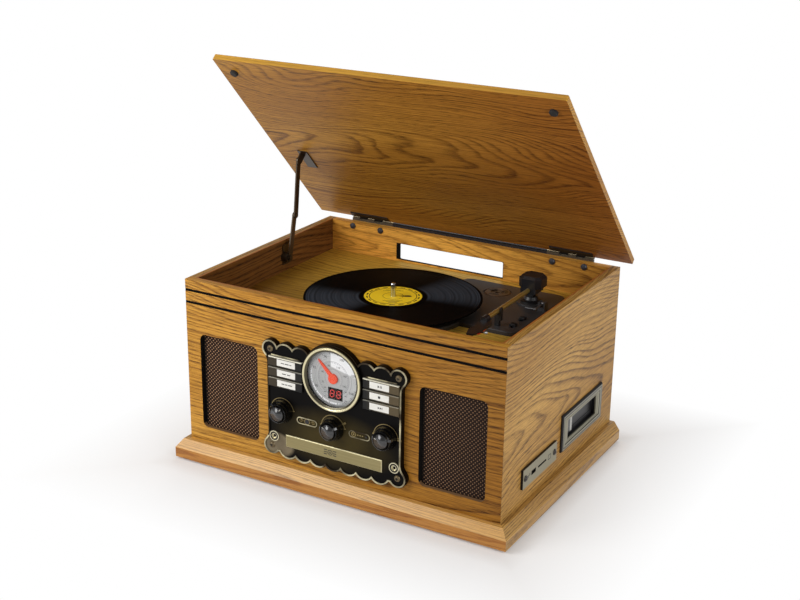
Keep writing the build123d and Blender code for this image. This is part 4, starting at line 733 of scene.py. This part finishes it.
def gloss_black_knob(name, centre, turn):
    """Black lacquer over a crowned face; the pointer line is white, and the lower left rim has a painted grey
    highlight.
    """
    made, add, place, parts = begin_finish(name)
    away = add("VectorMath SUBTRACT", place, centre)
    aim = (sin(radians(turn)), 0, cos(radians(turn)))
    along, across, low_left = (add("VectorMath DOT_PRODUCT", away, way, take="Value")
                               for way in (aim, (aim[2], 0, -aim[0]), (-0.82, 0, -0.57)))
    line = within(add, (along, add("Math ABSOLUTE", across), parts[1]), (6.5 * mm, 11 * mm),
                  (None, 0.45 * mm), (None, centre[1] + 1 * mm))
    reach = distance(add, along, across)
    crown = add("Math POWER", add("Math DIVIDE", reach, rib_r), 2)
    bump = add("Bump", {"Height": crown, "Strength": 1.0, "Distance": crown_depth}, invert=True)
    # The lower left rim is painted grey as a highlight.
    rim = within(add, (reach, low_left, parts[1]), (rib_r - 1.6 * mm, rib_r + 0.6 * mm), (0.55 * rib_r, None),
                 (None, centre[1] + 2.5 * mm))
    colour = coats(add, "#050506", (line, "#CFCBC0"), (rim, "#7C7D82"))
    return end_finish(made, add, {"Base Color": colour, "Roughness": 0.22, "Coat Weight": 1.0,
                                  "Coat Roughness": 0.2, "Normal": bump, "Coat Normal": bump})


for body, turn, long_ticks in (("volume", 35, ()), ("function", -60, (32,)), ("tuning", -75, (2,))):
    name = f"{body}_knob"
    low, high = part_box(name)
    centre = ((low.x + high.x) / 2, low.y, (low.z + high.z) / 2)
    lacquer = gloss_black_knob(f"{name}_gloss_black", centre, turn)
    dress_nodes(lacquer, name)
    grip = facing_front(centre[0], low.y + 5 * mm, centre[2])
    settle(f"{name}_ribs", bpy.data.meshes.new(f"{name}_ribs"), grip, lacquer, "knob_black", body,
           tree=marks_tree, Count=60, Radius=rib_r, Length=0.8 * mm, Width=0.55 * mm, Height=7 * mm,
           Finish=lacquer)
    spot = facing_front(centre[0], fascia_y, centre[2])
    scale = plates(spot, 0, 0.12, sector_outline(17.3, 18.1, 10, 175, 60))
    plates(spot, 0, 0.16, *(sector_outline(16.6, 19.4, end - 2, end + 2, 2) for end in (10, 175)), shell=scale)
    plates(spot, 0, 0.3, *(sector_outline(16.6, 22.4, tick - 3.5, tick + 3.5, 2) for tick in long_ticks),
           shell=scale)
    piece_from(f"{name}_scale", scale, inlay_brass)

# ------------------------------------------------------------------ plaques
# Oblong panels between the knobs: the left one holds a round remote-control window between engraved
# scrolls, the right one a turned roundel and a small lamp.
plaque_z = wall_foot + 98.5 * mm
plaque_x = 39.3 * mm
left_plaque = facing_front(-plaque_x, fascia_y, plaque_z)
right_plaque = facing_front(plaque_x, fascia_y, plaque_z)
# Polished smoked acrylic: a hard dark gloss.
smoked_window = plain_finish("smoked_sensor_window", "#100808", 0.08)


def round_outline(r, count=48, x=0):
    return [(x + r * cos(2 * pi * n / count), r * sin(2 * pi * n / count)) for n in range(count)]


for side, word in ((-1, "left"), (1, "right")):
    name = f"plaque_scroll_{word}"
    curve = bpy.data.curves.new(name, "CURVE")
    curve.dimensions = "3D"
    curve.bevel_depth = 0.3 * mm
    curve.bevel_resolution = 2
    curve.use_fill_caps = True
    line = curve.splines.new("NURBS")
    line.points.add(13)
    for n, point in enumerate(line.points):
        turn, r = n * 0.75, (3.4 - 0.2 * n) * mm
        point.co = (side * (9.2 * mm - r * cos(turn)), r * sin(turn) * 0.8, 0, 1)
    line.order_u = 3
    line.use_endpoint_u = True
    curve.resolution_u = 6
    settle(name, curve, left_plaque, inlay_brass, "antique_bronze")
piece_from("sensor_ring", plates(left_plaque, 0, 0.35, round_outline(4.1)), inlay_brass)
piece_from("sensor_window", plates(left_plaque, 0, 0.6, round_outline(3.3)), smoked_window)
centre = right_plaque @ Matrix.Translation((-8.5 * mm, 0, 0))
roundel = plates(centre, 0, 0.5, sector_outline(2.6, 3.4, count=40), round_outline(1.1))
plates(right_plaque, 0, 0.3, *bars((-2.5, 2), (1, 2), (4.5, 2), height=1.2), shell=roundel)
piece_from("plaque_roundel", roundel, inlay_brass)
piece_from("plaque_lamp", plates(right_plaque, 0, 0.7, round_outline(1.4, 24, 10)), smoked_window)

# ------------------------------------------------------------------ disc drawer and the sockets
# The drawer front is brass sheet brushed along its length with a bright line round its edge, on a black
# moulded tray. The two sockets have turned, plated rings.
drawer_low, drawer_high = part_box("cd_drawer")
drawer_face_t = 4.05 * mm
bright_line = 0.8 * mm
drawer_edge = 72.3 * mm - bright_line
socket_x = 90.3 * mm
turning_pitch = 0.4 * mm


def brushed_front():
    """Long brushing lines that catch the light as fine level streaks."""
    made, add, place, parts = begin_finish("long_brushed_brass_sheet")
    drawn = add("Mapping", {0: place, "Scale": (12, 900, 2600)})
    lines = add("TexNoise", {"Vector": drawn, "Scale": 1, "Detail": 2})
    centre = within(add, parts, x=(-drawer_edge, drawer_edge),
                    z=(drawer_low.z + bright_line, drawer_high.z - bright_line))
    tray = within(add, parts, y=(drawer_low.y + drawer_face_t, None))
    colour = coats(add, "#D8CDA2", (centre, coats(add, "#7C7049", (lines, "#A89B6C"))), (tray, "#1A1A1C"))
    metal = add("Math MULTIPLY_ADD", tray, -0.5, 0.5)
    return end_finish(made, add, {"Base Color": colour, "Metallic": metal, "Roughness": 0.36}, lines, 0.2,
                      0.05 * mm)


def turned_sockets():
    """Bright rim, black collar and bright throat, all turned in a lathe and plated; the hole inside is painted
    black as shade.
    """
    made, add, place, parts = begin_finish("turned_plated_sockets")
    low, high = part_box("front_jacks")
    across = add("Math SUBTRACT", add("Math ABSOLUTE", parts[0]), socket_x)
    reach = distance(add, across, add("Math SUBTRACT", parts[2], (low.z + high.z) / 2))
    collar = within(add, (reach,), (3.9 * mm, 6 * mm))
    # The hole inside the throat is painted black as shade.
    hole = within(add, (reach,), (None, 2 * mm))
    turned = add("Math SINE", add("Math MULTIPLY", reach, 2 * pi / turning_pitch))
    colour = coats(add, "#D6CDAE", (collar, "#16140F"), (hole, "#0A0908"))
    return end_finish(made, add, {"Base Color": colour, "Metallic": 0.7, "Roughness": 0.25}, turned, 0.1,
                      0.03 * mm)


dress_nodes(brushed_front(), "cd_drawer")
dress_nodes(turned_sockets(), "front_jacks")
on_drawer = facing_front(-4 * mm, drawer_low.y, (drawer_low.z + drawer_high.z) / 2)
# A plain mark for the disc: two rings between short level bars.
disc_rings = sector_outline(2.9, 3.7, count=40), sector_outline(0.8, 1.5, count=28)
disc_bars = [box_outline(4.6, 1.1, x, y) for x in (-7, 7) for y in (-3, 0, 3)]
piece_from("drawer_disc_mark", plates(on_drawer, 0, 0.12, *disc_rings, *disc_bars), symbol_black,
           "drawer")

# ------------------------------------------------------------------ right side: cassette slot and data plate
# A black moulded surround with a stepped satin frame inside it, a spring flap over the tape slot and
# an eject key. The data plate is champagne-anodised aluminium held by two slotted screws.
mouth_low, mouth_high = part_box("cassette_bezel")
plate_low, plate_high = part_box("usb_card_plate")
surround_black = "#17161A"
highlight_w = 7 * mm


def plate_sides(add, parts, colour):
    """Only the outer face is anodised champagne, and the cut edges and the sockets behind are black."""
    outward = add("MapRange", facing(add)[0], 0.4, 0.6)
    outer = within(add, parts, (side_x + 1 * mm, None))
    return coats(add, surround_black, (add("Math MULTIPLY", outward, outer), colour))


def lined_surround(add, parts, colour):
    """A black border round the face, and a black line inside it where the silver frame begins."""
    colour = plate_sides(add, parts, colour)
    for inset, width in ((0, 2 * mm), (3.6 * mm, 1.6 * mm)):
        whole, inner = (within(add, parts, y=(mouth_low.y + back, mouth_high.y - back),
                               z=(mouth_low.z + back, mouth_high.z - back)) for back in (inset, inset + width))
        colour = coats(add, colour, (add("Math SUBTRACT", whole, inner), surround_black))
    return colour


def edge_highlight(add, parts, colour):
    """A silver strip is painted along the key's rear edge as a highlight."""
    key_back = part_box("cassette_eject_key")[1].y
    return coats(add, colour, (within(add, parts, y=(key_back - highlight_w, key_back - 0.6 * mm)), "#A8A8A2"))


# Styrene from a spark-roughened mould: an even, low sheen.
black_moulding = plain_finish("fine_textured_black_styrene", "#1A191B", 0.42)
dress_nodes(black_moulding, "cassette_mechanism", "cassette_flap")
# Anodised aluminium: a pale metal gleam with no hard highlight. The key has a polished mould's gloss.
dress_nodes(plain_finish("champagne_anodised_plate", "#958F76", 0.34, 0.45, details=plate_sides),
            "usb_card_plate")
dress_nodes(plain_finish("champagne_faced_surround", "#8A8672", 0.36, 0.4, details=lined_surround),
            "cassette_bezel")
dress_nodes(plain_finish("gloss_black_key", "#1C1B1E", 0.18, details=edge_highlight), "cassette_eject_key")
# Silvered and left satin: it takes a soft grey light with no hard edge to it.
satin_silver = plain_finish("satin_silver_frame", "#908C78", 0.34, 0.5)


def facing_right(low, high):
    """Local X to the back, local Y up and local Z out to the right, in the middle of a box."""
    turn = Matrix(((0, 0, 1), (1, 0, 0), (0, 1, 0))).to_4x4()
    return Matrix.Translation((side_x, (low.y + high.y) / 2, (low.z + high.z) / 2)) @ turn


def stepped_frame(place, *steps):
    """A picture frame of closed rectangular rings: each (width, height, level), then back round inside."""
    shell = bmesh.new()
    loops = [[shell.verts.new(place @ Vector((x * mm, y * mm, level * mm))) for x, y in box_outline(w, h)]
             for w, h, level in steps]
    for n, first in enumerate(loops):
        second = loops[(n + 1) % len(loops)]
        for k in range(4):
            shell.faces.new((first[k], first[(k + 1) % 4], second[(k + 1) % 4], second[k]))
    return shell


on_plate = facing_right(plate_low, plate_high)
inner_frame = stepped_frame(facing_right(mouth_low, mouth_high), (115.6, 35.4, 2.3), (113.6, 33.6, 3.4),
                            (107, 32.4, 3.4), (105, 31.4, 2.6), (99, 30.4, 2.4), (96.4, 28.4, 0.4),
                            (95.8, 27.8, 0.4), (95.8, 27.8, 2.25), (115.6, 35.4, 2.25))
piece_from("cassette_inner_frame", inner_frame, satin_silver)
port = on_plate @ Matrix.Translation((-20 * mm, 0, 0))
piece_from("usb_port_tongue", plates(port, -14, -1, box_outline(11, 1.6, 0, 1.2)), label_white)
# A plain arrow and an outlined card are printed beside the two sockets.
level = (plate_high.x - side_x) / mm
signs = (box_outline(w, h, x, y) for x, y, w, h in (
    (-34, 0, 9, 1.2), (-31.5, 1.8, 3.4, 1), (-36, -1.8, 3.4, 1), (28, 3, 8, 0.9), (28, -3, 8, 0.9),
    (24.4, 0, 0.9, 5), (31.6, 0, 0.9, 5)))
piece_from("data_plate_marks", plates(on_plate, level + 0.02, level + 0.08, *signs), symbol_black)

# ------------------------------------------------------------------ rear and inner works
# Circuit boards, a varnished transformer, the drawer's steel housing and the black moulded rear panel,
# seen only from behind or with the back off.
# Zinc-plated sheet is bright and cool, solder mask a flat green, and varnish a dull brown film on steel.
sheet_steel = plain_finish("plated_sheet_steel", "#8E9093", 0.35, 1.0)
board_green = plain_finish("green_circuit_board", "#2C5A36", 0.4)
dress_nodes(black_moulding, "rear_connection_panel")
dress_nodes(sheet_steel, "cd_mechanism")
dress_nodes(board_green, "main_circuit_board", "control_board")
dress_nodes(plain_finish("varnished_laminations", "#4A4440", 0.5, 0.5), "mains_transformer")

# ------------------------------------------------------------------ record deck
# A moulded deck plate in dark grey, a black platter with its rubber mat, and a pressed vinyl disc with
# a yellow paper label. The grooves draw each lamp out sideways, and long wedges of sheen are painted on.
record_low, record_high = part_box("vinyl_record")
record_x = (record_low.x + record_high.x) / 2
record_y = (record_low.y + record_high.y) / 2
groove_pitch = 0.5 * mm
label_r = 39
spindle_r = 3.7
sheen_turn = radians(43)


def from_spindle(add, place):
    """Distance from the spindle, and the sideways direction in which the grooves run."""
    shifted = add("VectorMath SUBTRACT", place, (record_x, record_y, 0))
    near = add("SeparateXYZ", shifted, take=None).outputs
    return distance(add, near[0], near[1]), add("CombineXYZ", add("Math MULTIPLY", near[1], -1), near[0])


def pressed_vinyl():
    """Near-black gloss with a pale sheen painted across the disc in two opposite bands; the turned grooves
    spread the lamps sideways too. They are drawn coarser than the real ones, which are too fine to show."""
    made, add, place, parts = begin_finish("pressed_vinyl")
    reach, sideways = from_spindle(add, place)
    groove = add("Math SINE", add("Math MULTIPLY", reach, 2 * pi / groove_pitch))
    band = add("TexNoise", {"W": add("Math MULTIPLY", reach, 320), "Scale": 1}, noise_dimensions="1D")
    unit = add("VectorMath NORMALIZE", sideways)
    across = add("VectorMath DOT_PRODUCT", unit, (-sin(sheen_turn), cos(sheen_turn), 0), take="Value")
    # A pale sheen is painted into the colour in two opposite wedges across the disc.
    wedge = add("MapRange", add("Math ABSOLUTE", across), 0.78, 1.0, interpolation_type="SMOOTHSTEP")
    playing = within(add, (reach,), (46 * mm, 117 * mm))
    wedge = add("Math MULTIPLY", wedge, playing)
    wedge = add("Math MULTIPLY", wedge, add("MapRange", band, 0.3, 0.7, 0.35, 0.9))
    depth = add("Math MULTIPLY", playing, add("Math MULTIPLY_ADD", band, 0.8, groove))
    return end_finish(made, add, {
        "Base Color": coats(add, "#050506", (wedge, "#40464F")), "Anisotropic": 0.8, "Tangent": sideways,
        "Roughness": add("Math MULTIPLY_ADD", band, 0.16, 0.3), "Specular IOR Level": 0.01},
        depth, 0.22, 0.06 * mm)


def bright_spindle():
    """Black moulding with a fine grain, and the ground steel spindle standing through it."""
    made, add, place, parts = begin_finish("black_platter_bright_spindle")
    reach, _ = from_spindle(add, place)
    fine = add("TexNoise", {"Vector": place, "Scale": 900, "Detail": 2})
    pin = within(add, (reach, parts[2]), (None, spindle_r * mm), (record_low.z, None))
    return end_finish(made, add, {"Base Color": coats(add, "#1E1C1D", (pin, "#C8CACC")), "Metallic": pin,
                                  "Roughness": add("Math MULTIPLY_ADD", pin, -0.24, 0.4)}, fine, 0.2, 0.02 * mm)


def deck_middle_reflection(add, parts, colour):
    """The sunk middle is painted browner as a reflection of the wood; the plate stays greyer round its edge."""
    reach, _ = from_spindle(add, add("CombineXYZ", *parts))
    return coats(add, colour, (add("MapRange", reach, 128 * mm, 108 * mm, 0, 0.8), "#2C2518"))


def three_painted_windows(add, parts, colour):
    """Three windows round the middle of the disc, painted dark as shade; no holes are cut."""
    low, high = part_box("record_adapter")
    x = add("Math SUBTRACT", parts[0], (low.x + high.x) / 2)
    y = add("Math SUBTRACT", parts[1], (low.y + high.y) / 2)
    turn = add("Math MULTIPLY", add("Math ARCTAN2", y, x), 3)
    window = within(add, (distance(add, x, y), add("Math SINE", turn)), (5 * mm, 15 * mm), (-0.25, None))
    return coats(add, colour, (window, "#0E0B09"))


dress_nodes(pressed_vinyl(), "vinyl_record")
dress_nodes(bright_spindle(), "platter")
# A moulded skin with a slight leathery grain, ribbed rubber that stays dull, and a smooth brown disc.
dress_nodes(plain_finish("dark_moulded_deck", "#3A3839", 0.42, grain=0.9 * mm, depth=0.05 * mm,
                         details=deck_middle_reflection), "turntable_plate")
dress_nodes(plain_finish("ribbed_rubber_mat", "#242223", 0.7), "platter_mat")
dress_nodes(plain_finish("moulded_adapter", "#5E4834", 0.4, details=three_painted_windows), "record_adapter")
dress_nodes(black_rubber, "drive_belt")
dress_nodes(inlay_brass, "motor_pulley")
dress_nodes(sheet_steel, "platter_motor")
dress_nodes(black_moulding, "arm_rest", "speed_switch", "auto_stop_switch")
# Uncoated paper, flat bright yellow, with rings, short lines for titles and a leaf emblem in black ink.
label_yellow = plain_finish("yellow_paper_label", "#FFDA22", 0.6, mottle=0.02)
label_ink = plain_finish("black_label_ink", "#241A0C", 0.6, mottle=0.05)
on_label = Matrix.Translation((record_x, record_y, record_high.z + 0.02 * mm)) @ Matrix.Rotation(0.5, 4, "Z")
piece_from("record_label", plates(on_label, 0, 0.12, sector_outline(spindle_r, label_r, count=96)),
           label_yellow, "platter_body")
label_print = [sector_outline(*ring, count=80) for ring in ((31.3, 32.3), (13.4, 14))]
label_print += [box_outline(w, 1.1, 0, y) for y, w in ((24, 20), (20.5, 28), (-19, 26), (-22.5, 18), (-26, 12))]
leaf_turns = [2 * pi * n / 28 for n in range(28)]
label_print.append([(16 + 9 * cos(turn), 4 * sin(turn) * (1.3 + cos(turn)) / 2) for turn in leaf_turns])
label_print += [sector_outline(34.2, 36, turn + 3, turn + 15, 5) for turn in range(0, 360, 20)]
piece_from("record_label_print", plates(on_label, 0.12, 0.17, *label_print), label_ink,
           "platter_body")

# ------------------------------------------------------------------ tonearm
# A gold-anodised tube between a faceted charcoal block and a moulded head, with a chromed finger lift
# and a red stylus carrier.
head_l = 62 * mm
block_l = 32 * mm


def arm_finish():
    """One finish for the whole arm: satin gold on the tube, charcoal at both ends, chrome and red tips."""
    made, add, place, parts = begin_finish("anodised_tube_and_moulded_ends")
    low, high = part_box("tonearm")
    tube = within(add, parts, y=(low.y + head_l, high.y - block_l))
    stylus = within(add, parts, y=(low.y + 8 * mm, low.y + 30 * mm), z=(None, low.z + 6 * mm))
    ball = within(add, parts, (high.x - 5 * mm, None), (None, low.y + 30 * mm))
    metal = add("Math MULTIPLY", add("Math MAXIMUM", tube, ball), 0.75)
    fine = add("TexNoise", {"Vector": place, "Scale": 600, "Detail": 2})
    colour = coats(add, "#19181B", (tube, "#C2A356"), (stylus, "#E02818"), (ball, "#C8CACC"))
    return end_finish(made, add, {"Base Color": colour, "Metallic": metal, "Roughness": 0.3}, fine, 0.2,
                      0.04 * mm)


dress_nodes(arm_finish(), "tonearm")
# The block is moulded, dark and satin; the lift lever is nickel plate with a smoky gleam.
dress_nodes(plain_finish("charcoal_moulding", "#151416", 0.4), "tonearm_turret")
dress_nodes(plain_finish("smoked_nickel_plate", "#77777A", 0.3, 0.6), "cue_lever")

# ------------------------------------------------------------------ lid, hinges and stay
# An 8 mm veneered board with wide sweeping arches of grain, open on black plated hinges and held by a
# folding bronze stay. Two rubber buttons are fixed to its underside.
lid_open = radians(45.8)
rise, run = sin(lid_open), cos(lid_open)
lid_tones = ("#CE983C", "#B07A2A", "#744818", "#341D08")
lid_low, lid_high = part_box("lid_panel")
knuckles_from = 125 * mm


def lid_slope(add, parts):
    """The lid's grain follows the board, so its pattern is laid out in the board's own slope."""
    slope = add("Math MULTIPLY_ADD", parts[1], -run, add("Math MULTIPLY", parts[2], rise))
    depth = add("Math MULTIPLY_ADD", parts[1], rise, add("Math MULTIPLY", parts[2], run))
    return add("CombineXYZ", parts[0], slope, depth)


def lid_shade(add, parts, colour):
    """Painted shade deepens to the right but leaves the right edge pale; the front edge has a painted
    highlight, the hinge edge painted black shade.
    """
    ways = facing(add)
    hinge_edge_shade = within(add, ways, y=(0.4, None), z=(None, -0.4))
    front_edge_highlight = within(add, ways, y=(None, -0.4), z=(0.4, None))
    # Painted shade towards the right, left off the right edge.
    right = add("Math MULTIPLY", add("MapRange", parts[0], -0.2, 0.24), within(add, ways, (None, 0.5)))
    colour = coats(add, colour, (right, "#D0B6C0"), laid="MULTIPLY")
    return coats(add, colour, (hinge_edge_shade, "#120904"), (add("Math MULTIPLY", front_edge_highlight, 0.3), "#FFC850"))


def knuckle_highlight(add, parts, colour):
    """The fixed knuckles carry a pale painted highlight where they face upwards."""
    lit = add("MapRange", facing(add)[2], -0.1, 0.5, 0, 0.8)
    knuckles = add("Math GREATER_THAN", add("Math ABSOLUTE", parts[0]), knuckles_from)
    return coats(add, colour, (add("Math MULTIPLY", lit, knuckles), "#BCA67C"))


def stay_edge_highlight(add, parts, colour):
    """Faces that look to the left carry a pale painted highlight."""
    return coats(add, colour, (add("MapRange", facing(add)[0], -0.3, -0.7, 0, 0.6), "#B09A70"))


dress_nodes(lacquered_oak("oak_veneer_lid", 0.42, details=lid_shade, slope=lid_slope, along=0, across=1,
                          heart=rise * lid_low.z - run * lid_high.y + 0.2, taper=0.09, drift_by=0.17,
                          arch=0.025, tones=lid_tones, ring=5 * mm, face=rise * lid_high.y + run * lid_low.z),
            "lid_panel")
dress_nodes(black_rubber, "lid_bumpers")
# Black electroplate over steel: dark, with a soft metal sheen. The stay's plate is a browner bronze.
dress_nodes(plain_finish("black_plate_knuckle_highlight", "#2B292C", 0.35, 0.5, details=knuckle_highlight),
            "hinge_body_leaves")
dress_nodes(plain_finish("black_plated_steel", "#2B292C", 0.35, 0.6), "hinge_lid_leaves")
dress_nodes(plain_finish("dark_bronze_plate", "#4A3E30", 0.32, 0.7, details=stay_edge_highlight), "stay_lower_arm",
            "stay_upper_arm", "stay_cabinet_bracket", "stay_lid_bracket")

# ------------------------------------------------------------------ floor and light
# A pale floor that runs out to pure white, a soft lamp near the left front corner, a weaker one on the
# right and one behind.
clear_to = 0.16
contact_w = 25 * mm
near_share = 0.36
contact_share = 0.4
floor_half = 30


def white_floor():
    """Matt near the object, where it takes the shadow, and plain white to the eye further out."""
    made, add, place, parts = begin_finish("white_floor")
    ray = add("LightPath", take=None).outputs
    seen = add("Math MAXIMUM", ray["Is Camera Ray"], ray["Is Glossy Ray"])
    beyond = [add("Math SUBTRACT", add("Math ABSOLUTE", parts[axis]), cad_box[1][axis]) for axis in (0, 1)]
    reach = add("Math MAXIMUM", *beyond)
    share = add("MapRange", reach, 0, clear_to, near_share, 1)
    contact = add("MapRange", reach, 0, contact_w, contact_share, 1)
    share = add("Math MULTIPLY", add("Math MULTIPLY", share, contact), seen)
    matt = add("BsdfDiffuse", {"Color": linear("#EFECEA")})
    white = add("Emission", {"Color": (1, 1, 1, 1), "Strength": 1.0})
    add("OutputMaterial", add("MixShader", share, matt, white), take=None)
    return made


def hang_lamp(name, place, target, size, power):
    lamp = bpy.data.lights.new(name, "AREA")
    lamp.shape = "RECTANGLE"
    lamp.size, lamp.size_y = size
    lamp.energy = power
    holder = put_in_scene(name, lamp)
    holder.location = place
    holder.rotation_mode = "QUATERNION"
    holder.rotation_quaternion = (Vector(target) - Vector(place)).to_track_quat("-Z", "Y")


mesh = bpy.data.meshes.new("studio_floor")
corners = [Vector((x * floor_half, y * floor_half, 0)) for x, y in ((-1, -1), (1, -1), (1, 1), (-1, 1))]
mesh.from_pydata(corners, [], [(0, 1, 2, 3)])
floor = put_in_scene("studio_floor", mesh)
dress(floor, white_floor())

# The surround is white to the eye, but weaker as a light, so that the lamps shape the object.
world = bpy.data.worlds.new("white_surround")
bpy.context.scene.world = world
world.use_nodes = True
world.node_tree.nodes.clear()
add = node_adder(world.node_tree)
ray = add("LightPath", take=None).outputs
seen = add("Math MAXIMUM", ray["Is Camera Ray"], ray["Is Transmission Ray"])
strength = add("Math MULTIPLY_ADD", seen, 0.62, 0.38)
add("OutputWorld", add("Background", {"Color": (1, 1, 1, 1), "Strength": strength}), take=None)
hang_lamp("key_light", (-0.85, -1.1, 0.85), (-0.05, -0.15, 0.14), (0.9, 0.9), 14)
hang_lamp("fill_light", (1.9, -0.5, 0.9), (0, 0, 0.15), (1.4, 1.0), 16)
hang_lamp("rim_light", (-0.3, 1.9, 1.9), (0, 0, 0.2), (1.6, 0.8), 16)

# ------------------------------------------------------------------ camera
# A portrait lens stands about 1.8 m off the front right corner, a little above the open lid.
view_azimuth = radians(29.685)
view_elevation = radians(19.576)
view_roll = radians(-0.768)
camera_place = Vector((0.85254, front_y - 1.33565, 0.83343 + wall_foot))
back = Vector((sin(view_azimuth) * cos(view_elevation), -cos(view_azimuth) * cos(view_elevation),
               sin(view_elevation)))
across = Vector((0, 0, 1)).cross(back).normalized()
down = across.cross(back)
right = across * cos(view_roll) + down * sin(view_roll)
up = across * sin(view_roll) - down * cos(view_roll)
lens = bpy.data.cameras.new("camera")
lens.sensor_width = 36
lens.lens = 61.457
lens.clip_end = 60
camera = put_in_scene("camera", lens)
camera.matrix_world = Matrix.Translation(camera_place) @ Matrix((right, up, back)).transposed().to_4x4()
bpy.context.scene.camera = camera
bpy.context.scene.view_settings.view_transform = "Standard"
